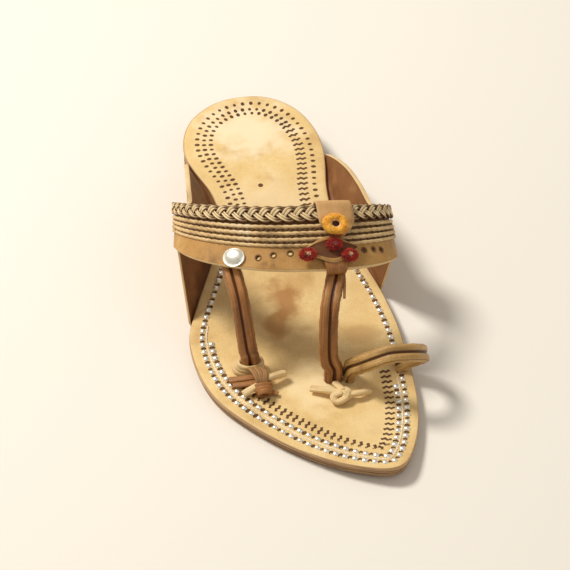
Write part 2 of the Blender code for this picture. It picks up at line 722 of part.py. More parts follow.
def keeper_tab(material):
    """The plain tab hooked over the band's rear edge and the plait, pointed below."""
    rows = ((-0.026, 0.0, 1.0), (-0.026, TAB_LIFT, 1.0), (0.12, TAB_LIFT, 1.0), (0.305, TAB_LIFT, 1.0),
            (0.345, TAB_LOW_LIFT, 0.95), (0.39, TAB_LOW_LIFT, 0.65), (0.435, TAB_LOW_LIFT, 0.12))
    return band_strip("keeper_tab", material, TAB_ACROSS, TAB_WIDTH, rows, TAB_WALL)


def strap_fold(material):
    """The folded loop that holds the medial strap to the band's front edge."""
    lift = BAND_WALL + GAP
    rows = ((0.72, lift, 0.8), (0.84, lift, 1.0), (0.96, lift, 1.0), (1.035, lift, 0.95), (1.035, 0.5 * lift, 0.9))
    return band_strip("strap_fold", material, FOLD_ACROSS, FOLD_WIDTH, rows, FOLD_WALL)


def medallion(material):
    """The lozenge plate that carries the pompoms."""
    across, down = MEDALLION_PLACE
    run = (band_point(across, 1.0) - band_point(across, 0.0)).length
    grid = []
    for off in LOZENGE_OFFS:
        half = MEDALLION_WIDTH / 2 / run * max(1 - abs(off), 0.06)
        reach = across + off * MEDALLION_LENGTH / band_length()
        grid.append([on_band(reach, down + side * half, MEDALLION_LIFT) for side in (-1, 0, 1)])
    return skin("medallion", material, grid, lambda row, column: MEDALLION_WALL, MEDALLION_WALL)


def clear_scene():
    """Remove what the scene holds."""
    for thing in list(bpy.data.objects):
        bpy.data.objects.remove(thing)
    for collection in list(bpy.data.collections):
        bpy.data.collections.remove(collection)


def stand_at_origin(root):
    """Move the sandal so that its box stands centred on the origin."""
    bpy.context.view_layer.update()
    graph = bpy.context.evaluated_depsgraph_get()
    corners = []
    for piece in bpy.data.collections["kolhapuri_sandal"].objects:
        if piece.type == "MESH":
            whole = piece.evaluated_get(graph)
            corners += [whole.matrix_world @ vertex.co for vertex in whole.data.vertices]
    middle = [(min(point[axis] for point in corners) + max(point[axis] for point in corners)) / 2 for axis in (0, 1)]
    root.location = (-middle[0], -middle[1], 0.0)


def main():
    """Build the sandal's pieces."""
    clear_scene()
    for name in ("kolhapuri_sandal", "sandal_cutters"):
        bpy.context.scene.collection.children.link(bpy.data.collections.new(name))
    root = bpy.data.objects.new("sandal_origin", None)
    bpy.data.collections["kolhapuri_sandal"].objects.link(root)

    sole_leather = leather("sole_leather", (0.42, 0.25, 0.11), 0.60)
    footbed_leather = leather("footbed_leather", (0.72, 0.50, 0.26), 0.55)
    band_leather = leather("band_leather", (0.33, 0.18, 0.09), 0.50)
    strap_leather = leather("strap_leather", (0.36, 0.17, 0.07), 0.45)
    thong_leather = leather("thong_leather", (0.78, 0.60, 0.36), 0.60)
    silver = leather("silver", (0.85, 0.85, 0.84), 0.25, 1.0)
    yellow_wool = leather("yellow_wool", (0.85, 0.42, 0.05), 0.85)
    red_wool = leather("red_wool", (0.42, 0.03, 0.03), 0.80)

    sole_layer("outsole", sole_leather, sole_underside, outsole_top, step=OUTSOLE_STEP)
    sole_layer("heel_lift", sole_leather, floor_level, heel_seat, step=HEEL_LIFT_STEP, last=HEEL_BREAST_ROW,
               ribs=HEEL_RIBS)
    sole_layer("midsole", sole_leather, midsole_bottom, midsole_top, step=MIDSOLE_STEP, waisted=True, notched=True)
    sole_layer("footbed", footbed_leather, footbed_bottom, footbed_top, waisted=True)
    upper(band_leather)
    plaited_braid(strap_leather)
    for side in EAR_FEET:
        toe_strap(side, strap_leather)
        tie(side, thong_leather)
    toe_ring(strap_leather)
    stud_disc(silver)
    keeper_tab(band_leather)
    rosette(yellow_wool)
    medallion(band_leather)
    strap_fold(strap_leather)
    for index in range(len(POMPOM_PLACES)):
        pompom(index, red_wool)
    stand_at_origin(root)


main()
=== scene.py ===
"""Looks of a right-foot kolhapuri sandal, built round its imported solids.

Metres, +Z up. The toe points to -Y and the big-toe side to +X.
"""

import logging
import math
from dataclasses import dataclass, field
from enum import Enum
from typing import Any, Sequence

import bmesh
import bpy
import numpy as np
from mathutils import Matrix, Vector
from numpy.typing import NDArray


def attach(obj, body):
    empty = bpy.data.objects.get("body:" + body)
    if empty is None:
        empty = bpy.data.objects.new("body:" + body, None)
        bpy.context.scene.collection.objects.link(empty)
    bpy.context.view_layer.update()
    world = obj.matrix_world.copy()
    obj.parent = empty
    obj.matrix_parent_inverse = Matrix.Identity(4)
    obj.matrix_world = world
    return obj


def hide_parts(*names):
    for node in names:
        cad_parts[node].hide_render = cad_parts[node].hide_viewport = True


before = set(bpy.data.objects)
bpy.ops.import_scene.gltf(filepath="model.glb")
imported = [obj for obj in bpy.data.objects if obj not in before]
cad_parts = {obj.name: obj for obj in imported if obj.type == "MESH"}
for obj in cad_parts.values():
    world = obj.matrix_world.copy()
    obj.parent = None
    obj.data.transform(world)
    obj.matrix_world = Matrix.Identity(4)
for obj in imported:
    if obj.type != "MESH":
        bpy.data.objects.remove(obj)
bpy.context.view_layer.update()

LOG = logging.getLogger("sandal")
Points = NDArray[np.float64]
Colour = tuple[float, float, float]
Piece = bpy.types.Object
Material = bpy.types.Material
Tree = bpy.types.NodeTree
Socket = bpy.types.NodeSocket

# Driving sizes, the same as in the part's source
SOLE_LENGTH = 0.2650
BALL_WIDTH = 0.1016
INSTEP_HEIGHT = 0.0690
EAR_WALL = 0.0022
BAND_WALL = 0.0028
CLEARANCE = 0.0003

# The solids stand centred on their box, which moves the sole's own middle line by this much in X
MIDDLE_SHIFT = -0.0007

# The camera: how steeply it looks down, how far it stands to the lateral side, and its pixel scale
CAMERA_ELEVATION = math.radians(43.0)
CAMERA_YAW = math.radians(9.5)
CAMERA_DISTANCE = 2.6
CAMERA_LENS = 341.6
CAMERA_TARGET = (-0.0031, -0.0070, 0.0150)


class Side(Enum):
    """A side of the foot."""

    LATERAL = "lateral"
    MEDIAL = "medial"


LATERAL, MEDIAL = Side.LATERAL, Side.MEDIAL
UP = np.array((0.0, 0.0, 1.0))


class Zone(Enum):
    """Faces of a leather wall, in the order of its materials."""

    OUTER = 0
    INNER = 1
    EDGE = 2


def smooth_rows(rows: Sequence[Sequence[float]] | Points, count: int) -> Points:
    """Sample a smooth curve through rows of values.

    Args:
        rows: The rows that the curve passes through.
        count: Number of spans between samples.

    Returns:
        Array of count + 1 rows.
    """
    given = np.asarray(rows, float)
    place = np.linspace(0, len(given) - 1, count + 1)
    first = np.minimum(place.astype(int), len(given) - 2)
    share = (place - first).reshape((-1,) + (1,) * (given.ndim - 1))
    before, start, end, after = (given[np.clip(first + step, 0, len(given) - 1)] for step in (-1, 0, 1, 2))
    bend = 2 * before - 5 * start + 4 * end - after
    twist = 3 * (start - end) + after - before
    return start + 0.5 * share * (end - before + share * (bend + share * twist))


def unit(vectors: Points) -> Points:
    """Scale vectors to length one."""
    return vectors / np.maximum(np.linalg.norm(vectors, axis=-1, keepdims=True), 1e-12)


def travelled(path: Points) -> Points:
    """Distance along a path at each of its points."""
    return np.concatenate(([0.0], np.cumsum(np.linalg.norm(np.diff(path, axis=0), axis=1))))


def evenly(path: Points, step: float) -> Points:
    """Resample a path at an even spacing close to a step."""
    gone = travelled(path)
    marks = np.linspace(0, gone[-1], max(2, round(gone[-1] / step) + 1))
    return np.stack([np.interp(marks, gone, path[:, axis]) for axis in range(path.shape[1])], 1)


def shoe_place(out: Any, along: Any, up: Any) -> Points:
    """World point from shares of the ball width, the sole's length and the instep's height."""
    return np.stack(np.broadcast_arrays(
        np.asarray(out) * BALL_WIDTH + MIDDLE_SHIFT,
        SOLE_LENGTH / 2 - np.asarray(along) * SOLE_LENGTH,
        np.asarray(up) * INSTEP_HEIGHT,
    ), -1).astype(float)


def along_of(y: Any) -> Any:
    """Distance from the heel's back of a world Y, and the other way round."""
    return SOLE_LENGTH / 2 - y


def full_turn(count: int) -> Points:
    """Evenly spread angles of a full turn."""
    return np.linspace(0, math.tau, count, endpoint=False)


def linked(name: str, data: Any) -> Piece:
    """New object in the scene."""
    made = bpy.data.objects.new(name, data)
    bpy.context.scene.collection.objects.link(made)
    return made


class Draft:
    """A mesh under construction, as grids of points with a material place and a UV each."""

    def __init__(self) -> None:
        """Start empty."""
        self.points: list[Points] = []
        self.uvs: list[Points] = []
        self.quads: list[NDArray[np.int64]] = []
        self.slots: list[NDArray[np.int64]] = []
        self.recesses: list[Points] = []
        self.count = 0

    def grid(self, points: Points, slot: Any = 0, uv: Points | None = None, loop: bool = False,
             recess: Any = 0.0) -> None:
        """Add a grid of points.

        Args:
            points: Array of rows, columns and XYZ.
            slot: Place of the material among the piece's materials, or one for each face.
            uv: Array of rows, columns and two values. Distances along and across by default.
            loop: Joins the last column to the first.
            recess: How deep each point lies in a groove, from 0 to 1, which sets the painted shade there.
        """
        recess = np.broadcast_to(np.asarray(recess, float), points.shape[:2])
        if loop:
            recess = np.concatenate((recess, recess[:, :1]), 1)
        if uv is None:
            runs = np.linalg.norm(np.diff(points, axis=0), axis=2).mean(1)
            turns = np.linalg.norm(np.diff(points, axis=1), axis=2).mean(0)
            u = np.concatenate(([0.0], np.cumsum(runs)))
            v = np.concatenate(([0.0], np.cumsum(turns)))
            if loop:
                v = np.concatenate((v, [v[-1] + turns[-1]]))
            uv = np.stack(np.meshgrid(u, v, indexing="ij"), -1)
        if loop:
            points = np.concatenate((points, points[:, :1]), 1)
        rows, columns = points.shape[:2]
        index = self.count + np.arange(rows * columns).reshape(rows, columns)
        quads = np.stack((index[:-1, :-1], index[1:, :-1], index[1:, 1:], index[:-1, 1:]), -1).reshape(-1, 4)
        self.points.append(points.reshape(-1, 3))
        self.uvs.append(uv.reshape(-1, 2))
        self.quads.append(quads)
        self.slots.append(np.broadcast_to(slot, (rows - 1, columns - 1)).ravel())
        self.recesses.append(recess.ravel())
        self.count += rows * columns

    def tube(self, sections: Points, slot: int = 0, round_ends: float = 0.0, recess: Any = 0.0) -> None:
        """Add a closed body through closed sections, with its ends closed to a point.

        Args:
            sections: Array of sections, points and XYZ.
            slot: Place of the material.
            round_ends: How far the ends bulge out.
            recess: Depth in a groove of each point.
        """
        self.grid(sections, slot, loop=True, recess=recess)
        for end, inner in ((0, 1), (-1, -2)):
            middle = sections[end].mean(0)
            out = unit(middle - sections[inner].mean(0)) * round_ends
            rings = [sections[end]]
            for share in (0.8, 0.5, 0.0):
                rings.append(middle + (sections[end] - middle) * share + out * (1 - share ** 2))
            self.grid(np.array(rings), slot, loop=True)

    def shell(self, inner: Points, wall: Points, outward: Points, slots: tuple[Any, int, int] = (0, 1, 2),
              recess: Any = 0.0) -> None:
        """Add a leather wall: its inner and outer face and rounded cut edges.

        Args:
            inner: Grid of the inner face.
            wall: Thickness at each point.
            outward: Unit direction in which the wall grows.
            slots: Material places of the outer face, the inner face and the edges.
            recess: Depth in a groove of each point of the outer face.
        """
        outer = inner + outward * wall[..., None]
        self.grid(outer, slots[Zone.OUTER.value], recess=recess)
        self.grid(inner, slots[Zone.INNER.value])
        for pick in ((0, slice(None)), (-1, slice(None)), (slice(None), 0), (slice(None), -1)):
            near, far = inner[pick], outer[pick]
            step = {0: 1, -1: -2}
            inside = tuple(step[part] if isinstance(part, int) else part for part in pick)
            away = unit(near - inner[inside]) * wall[pick][:, None]
            rim = [near, near + 0.12 * (far - near) + 0.12 * away, (near + far) / 2 + 0.20 * away,
                   far - 0.12 * (far - near) + 0.12 * away, far]
            self.grid(np.array(rim), slots[Zone.EDGE.value])

    def build(self, name: str, materials: Sequence[Material], sharp: float = 45.0) -> Piece:
        """Make the mesh object, with its doubles merged and its faces turned outwards.

        Args:
            name: Name of the piece.
            materials: Its materials in order.
            sharp: Angle in degrees from which an edge stays sharp.

        Returns:
            The new object at the origin.
        """
        mesh = bpy.data.meshes.new(name)
        quads = np.concatenate(self.quads)
        mesh.from_pydata(np.concatenate(self.points).tolist(), [], quads.tolist())
        layer = mesh.uv_layers.new(name="leather")
        layer.data.foreach_set("uv", np.concatenate(self.uvs)[quads.ravel()].ravel().astype(np.float32))
        depth = mesh.attributes.new("recess", "FLOAT", "POINT")
        depth.data.foreach_set("value", np.concatenate(self.recesses).astype(np.float32))
        mesh.polygons.foreach_set("material_index", np.concatenate(self.slots).astype(np.int32))
        for material in materials:
            mesh.materials.append(material)
        bm = bmesh.new()
        bm.from_mesh(mesh)
        bmesh.ops.remove_doubles(bm, verts=bm.verts, dist=1e-6)
        bmesh.ops.recalc_face_normals(bm, faces=bm.faces)
        bm.to_mesh(mesh)
        bm.free()
        mesh.shade_smooth()
        mesh.set_sharp_from_angle(angle=math.radians(sharp))
        return linked(name, mesh)


def hand_over(piece: Piece, slot: str, *nodes: str) -> Piece:
    """Give a finished piece to the frame.

    Args:
        piece: The piece, at the origin.
        slot: The record's material slot. It is not used.
        nodes: The solids that it stands for.

    Returns:
        The same piece.
    """
    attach(piece, "root")
    if nodes:
        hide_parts(*nodes)
    LOG.info("%s: %d faces", piece.name, len(piece.data.polygons))
    return piece


class NodeSheet:
    """A node tree that is filled in by short calls."""

    def __init__(self, tree: Tree) -> None:
        """Keep the tree."""
        self.tree = tree

    def add(self, kind: str, inputs: dict[Any, Any] | None = None, **settings: Any) -> bpy.types.Node:
        """Add a node.

        Args:
            kind: Blender's name of the node's type.
            inputs: Values or sockets by the name or the number of the input.
            settings: Properties of the node.

        Returns:
            The new node.
        """
        node = self.tree.nodes.new(kind)
        for key, value in settings.items():
            setattr(node, key, value)
        for key, value in (inputs or {}).items():
            socket = node.inputs[key]
            if isinstance(value, Socket):
                self.tree.links.new(value, socket)
            else:
                socket.default_value = value
        return node

    def math(self, operation: str, *values: Any) -> Socket:
        """Output of a Math node with the given inputs."""
        return self.add("ShaderNodeMath", dict(enumerate(values)), operation=operation).outputs[0]

    def vector(self, operation: str, *values: Any) -> Socket:
        """Output of a Vector Math node with the given inputs."""
        return self.add("ShaderNodeVectorMath", dict(enumerate(values)), operation=operation).outputs[0]

    def ramp(self, value: Any, low: float, high: float) -> Socket:
        """Value mapped smoothly from low and high to 0 and 1."""
        settings = {"Value": value, "From Min": low, "From Max": high}
        return self.add("ShaderNodeMapRange", settings, interpolation_type="SMOOTHSTEP").outputs["Result"]

    def times(self, first: Any, second: Any) -> Socket:
        """Product of two values."""
        return self.math("MULTIPLY", first, second)

    def place(self) -> Socket:
        """Place in the piece's own frame."""
        return self.add("ShaderNodeTexCoord").outputs["Object"]

    def noise(self, place: Any, scale: Any, detail: float) -> Socket:
        """Noise from 0 to 1 at a place."""
        inputs = {"Vector": place, "Scale": scale, "Detail": detail}
        return self.add("ShaderNodeTexNoise", inputs).outputs["Fac"]

    def mix(self, share: Any, first: Any, second: Any) -> Socket:
        """Colour between two colours."""
        return self.add("ShaderNodeMix", {0: share, 6: first, 7: second}, data_type="RGBA").outputs[2]

    def tint(self, mask: Any, strength: float, colour: Any, tone: Colour) -> Socket:
        """Colour with a tone laid over it where a mask shows."""
        return self.mix(self.times(mask, strength), colour, opaque(tone))

    def bumps(self, shader: bpy.types.Node, height: Any, distance: float, strength: float = 1.0) -> None:
        """Give a shader the fine relief of a height."""
        bump = self.add("ShaderNodeBump", {"Height": height, "Distance": distance, "Strength": strength})
        self.tree.links.new(bump.outputs["Normal"], shader.inputs["Normal"])


def new_group(name: str, kind: str, inputs: Sequence[tuple],
              outputs: Sequence[tuple]) -> tuple[NodeSheet, Any]:
    """Make a node group with named sockets.

    Args:
        name: Name of the group.
        kind: ShaderNodeTree or GeometryNodeTree.
        inputs: Name, kind of socket and default of each input.
        outputs: Name and kind of socket of each output.

    Returns:
        The group's sheet and the sockets that bring its inputs.
    """
    tree = bpy.data.node_groups.new(name, kind)
    for title, kind_of_socket, default in inputs:
        socket = tree.interface.new_socket(title, in_out="INPUT", socket_type="NodeSocket" + kind_of_socket)
        if default is not None:
            socket.default_value = default
    for title, kind_of_socket in outputs:
        tree.interface.new_socket(title, in_out="OUTPUT", socket_type="NodeSocket" + kind_of_socket)
    sheet = NodeSheet(tree)
    return sheet, sheet.add("NodeGroupInput").outputs


def new_surface(name: str) -> tuple[Material, NodeSheet, bpy.types.Node]:
    """New material, the sheet of its nodes and its shader."""
    material = bpy.data.materials.new(name)
    material.use_nodes = True
    return material, NodeSheet(material.node_tree), material.node_tree.nodes["Principled BSDF"]


def opaque(colour: Colour) -> tuple[float, float, float, float]:
    """Colour with full alpha."""
    return (*colour, 1.0)


class LeatherGroups:
    """Shader groups that the leathers share."""

    def __init__(self) -> None:
        """Build the groups."""
        self.grain = self.make_grain()
        self.tone = self.make_tone()
        self.spot = self.make_spot()
        self.streaks = self.make_streaks()

    def make_grain(self) -> Tree:
        """Pebbled grain with fine pores, as a height and a crease mask."""
        sheet, given = new_group(
            "hide_grain", "ShaderNodeTree",
            [("Scale", "Float", 900.0), ("Pores", "Float", 0.4)],
            [("Height", "Float"), ("Creases", "Float")])
        place = sheet.place()
        warp = sheet.add("ShaderNodeTexNoise", {"Vector": place, "Scale": 260.0, "Detail": 2.0})
        inputs = {0: warp.outputs["Color"], "Scale": 0.0012}
        shift = sheet.add("ShaderNodeVectorMath", inputs, operation="SCALE").outputs[0]
        bent = sheet.vector("ADD", place, shift)
        inputs = {"Vector": bent, "Scale": given["Scale"]}
        cells = sheet.add("ShaderNodeTexVoronoi", inputs, feature="DISTANCE_TO_EDGE")
        pebble = sheet.ramp(cells.outputs["Distance"], 0.0, 0.22)
        fine = sheet.noise(place, sheet.times(given["Scale"], 3.1), 3.0)
        pores = sheet.times(fine, given["Pores"])
        height = sheet.math("ADD", pebble, pores)
        creases = sheet.math("SUBTRACT", 1.0, pebble)
        sheet.add("NodeGroupOutput", {"Height": height, "Creases": creases})
        return sheet.tree

    def make_tone(self) -> Tree:
        """Cloudy drift between a dark, a middle and a light tone of one hide."""
        sheet, given = new_group(
            "hide_tone", "ShaderNodeTree",
            [("Base", "Color", None), ("Dark", "Color", None), ("Light", "Color", None),
             ("Scale", "Float", 60.0), ("Drift", "Float", 0.5)],
            [("Color", "Color"), ("Cloud", "Float")])
        place = sheet.place()
        inputs = {"Vector": place, "Scale": given["Scale"], "Detail": 5.0, "Roughness": 0.62}
        clouds = sheet.add("ShaderNodeTexNoise", inputs).outputs["Fac"]
        speckle = sheet.noise(place, sheet.times(given["Scale"], 9.0), 2.0)
        dark = sheet.times(sheet.ramp(clouds, 0.52, 0.26), given["Drift"])
        light = sheet.times(sheet.ramp(clouds, 0.50, 0.74), given["Drift"])
        toned = sheet.mix(light, sheet.mix(dark, given["Base"], given["Dark"]), given["Light"])
        freckle = sheet.times(sheet.ramp(speckle, 0.60, 0.78), 0.22)
        colour = sheet.mix(freckle, toned, given["Dark"])
        sheet.add("NodeGroupOutput", {"Color": colour, "Cloud": clouds})
        return sheet.tree

    def make_spot(self) -> Tree:
        """Mask of one soft ragged spot, such as a stain, a rubbed place or a painted pool of light."""
        sheet, given = new_group(
            "soft_spot", "ShaderNodeTree",
            [("Centre", "Vector", None), ("Stretch", "Vector", (1.0, 1.0, 1.0)), ("Radius", "Float", 0.01)],
            [("Mask", "Float")])
        place = sheet.place()
        scaled = sheet.vector("DIVIDE", sheet.vector("SUBTRACT", place, given["Centre"]), given["Stretch"])
        distance = sheet.add("ShaderNodeVectorMath", {0: scaled}, operation="LENGTH").outputs["Value"]
        ragged = sheet.noise(place, 110.0, 4.0)
        blur = sheet.times(sheet.math("SUBTRACT", ragged, 0.5), given["Radius"])
        reach = sheet.math("DIVIDE", sheet.math("ADD", distance, sheet.times(blur, 1.6)), given["Radius"])
        sheet.add("NodeGroupOutput", {"Mask": sheet.ramp(reach, 1.0, 0.25)})
        return sheet.tree

    def make_streaks(self) -> Tree:
        """Lengthwise streaks that follow the piece's own UV map, for rolled and pulled leather."""
        sheet, given = new_group(
            "pulled_streaks", "ShaderNodeTree",
            [("Along", "Float", 40.0), ("Across", "Float", 1400.0)],
            [("Streaks", "Float")])
        parts = sheet.add("ShaderNodeSeparateXYZ", {0: sheet.add("ShaderNodeTexCoord").outputs["UV"]}).outputs
        run = sheet.times(parts["X"], given["Along"])
        turn = sheet.times(parts["Y"], given["Across"])
        place = sheet.add("ShaderNodeCombineXYZ", {"X": run, "Y": turn})
        streaks = sheet.noise(place.outputs[0], 1.0, 3.0)
        sheet.add("NodeGroupOutput", {"Streaks": streaks})
        return sheet.tree


GROUPS = LeatherGroups()


@dataclass(frozen=True)
class Spot:
    """A soft spot of another tone on a leather.

    Attributes:
        place: World centre.
        radius: Radius before stretching.
        stretch: Stretch along X, Y and Z.
        colour: Colour at its middle.
        strength: How much of it shows.
    """

    place: tuple[float, float, float]
    radius: float
    stretch: tuple[float, float, float]
    colour: Colour
    strength: float


@dataclass(frozen=True)
class Leather:
    """A vegetable-tanned leather finish.

    Attributes:
        name: Name of the material.
        base: Middle tone.
        dark: Tone of its dark clouds and creases.
        light: Tone of its light clouds.
        roughness: Roughness where it is flat.
        grain: Cells of grain to a metre.
        depth: Height of the grain in metres.
        drift: Strength of the clouds.
        streaks: Strength of lengthwise streaks.
        recess_shade: Strength of the painted shade in grooves, under crossings and at the ends of pieces,
            where the piece's points say how deep they lie; on the band it also darkens the front edge.
        coat: Weight of a thin waxed coat.
        spots: Soft spots, painted in order.
    """

    name: str
    base: Colour
    dark: Colour
    light: Colour
    roughness: float = 0.5
    grain: float = 900.0
    depth: float = 0.00012
    drift: float = 0.6
    streaks: float = 0.0
    recess_shade: float = 0.0
    coat: float = 0.0
    spots: tuple[Spot, ...] = ()

    def build(self) -> Material:
        """Build the material."""
        material, sheet, shader = new_surface(self.name)
        tone = sheet.add("ShaderNodeGroup", {"Base": opaque(self.base), "Dark": opaque(self.dark),
                                             "Light": opaque(self.light), "Drift": self.drift},
                         node_tree=GROUPS.tone).outputs
        grain = sheet.add("ShaderNodeGroup", {"Scale": self.grain}, node_tree=GROUPS.grain).outputs
        colour = sheet.tint(grain["Creases"], 0.22, tone["Color"], self.dark)
        height = grain["Height"]
        if self.streaks:
            lines = sheet.add("ShaderNodeGroup", node_tree=GROUPS.streaks).outputs["Streaks"]
            colour = sheet.tint(sheet.ramp(lines, 0.55, 0.30), self.streaks, colour, self.dark)
            colour = sheet.tint(sheet.ramp(lines, 0.54, 0.74), self.streaks, colour, self.light)
            height = sheet.math("ADD", height, sheet.times(lines, 2.0))
        for spot in self.spots:
            shape = {"Centre": spot.place, "Stretch": spot.stretch, "Radius": spot.radius}
            mask = sheet.add("ShaderNodeGroup", shape, node_tree=GROUPS.spot).outputs["Mask"]
            colour = sheet.tint(mask, spot.strength, colour, spot.colour)
        # Painted shade: darker in grooves, under crossings and at ends, by the recess attribute.
        if self.recess_shade:
            depth = sheet.add("ShaderNodeAttribute", attribute_name="recess").outputs["Fac"]
            ragged = sheet.times(sheet.math("SUBTRACT", tone["Cloud"], 0.5), 0.5)
            groove_shade_mask = sheet.ramp(sheet.math("ADD", depth, ragged), 0.25, 0.85)
            colour = sheet.tint(groove_shade_mask, self.recess_shade, colour, self.dark)
        sheet.tree.links.new(colour, shader.inputs["Base Color"])
        rough = sheet.math("ADD", self.roughness - 0.08, sheet.times(tone["Cloud"], 0.16))
        sheet.tree.links.new(rough, shader.inputs["Roughness"])
        sheet.bumps(shader, height, self.depth, 0.7)
        shader.inputs["Specular IOR Level"].default_value = 0.3
        shader.inputs["Coat Weight"].default_value = self.coat
        shader.inputs["Coat Roughness"].default_value = 0.35
        return material


@dataclass(frozen=True)
class StackedEdge:
    """The cut and burnished edge of layered sole leather, with fine lines along the layers."""

    name: str
    base: Colour
    dark: Colour
    line_scale: float = 2600.0

    def build(self) -> Material:
        """Build the material."""
        material, sheet, shader = new_surface(self.name)
        place = sheet.place()
        flat = sheet.vector("MULTIPLY", place, (24.0, 24.0, self.line_scale))
        lines, blotches = sheet.noise(flat, 1.0, 2.0), sheet.noise(place, 55.0, 4.0)
        colour = sheet.tint(sheet.ramp(lines, 0.62, 0.36), 0.75, opaque(self.base), self.dark)
        colour = sheet.tint(sheet.ramp(blotches, 0.48, 0.72), 0.5, colour, self.dark)
        sheet.tree.links.new(colour, shader.inputs["Base Color"])
        sheet.bumps(shader, lines, 0.00015, 0.6)
        shader.inputs["Roughness"].default_value = 0.5
        return material


@dataclass(frozen=True)
class Metal:
    """Polished silver-coloured metal with faint tarnish."""

    name: str
    base: Colour
    tarnish: Colour
    roughness: float = 0.22
    dents: float = 0.00006

    def build(self) -> Material:
        """Build the material."""
        material, sheet, shader = new_surface(self.name)
        clouds = sheet.noise(sheet.place(), 420.0, 3.0)
        colour = sheet.tint(sheet.ramp(clouds, 0.52, 0.75), 0.6, opaque(self.base), self.tarnish)
        sheet.tree.links.new(colour, shader.inputs["Base Color"])
        rough = sheet.math("ADD", self.roughness, sheet.times(clouds, 0.2))
        sheet.tree.links.new(rough, shader.inputs["Roughness"])
        sheet.bumps(shader, clouds, self.dents)
        shader.inputs["Metallic"].default_value = 0.9
        return material


@dataclass(frozen=True)
class Wool:
    """Matt dyed wool with fibres of uneven tone."""

    name: str
    base: Colour
    dark: Colour

    def build(self) -> Material:
        """Build the material."""
        material, sheet, shader = new_surface(self.name)
        place = sheet.place()
        fibres, clumps = sheet.noise(place, 1500.0, 2.0), sheet.noise(place, 330.0, 2.0)
        shade = sheet.math("ADD", sheet.times(fibres, 0.5), sheet.times(clumps, 0.5))
        colour = sheet.mix(sheet.ramp(shade, 0.58, 0.40), opaque(self.base), opaque(self.dark))
        sheet.tree.links.new(colour, shader.inputs["Base Color"])
        sheet.bumps(shader, fibres, 0.0002, 0.8)
        shader.inputs["Roughness"].default_value = 0.9
        shader.inputs["Sheen Weight"].default_value = 0.08
        return material


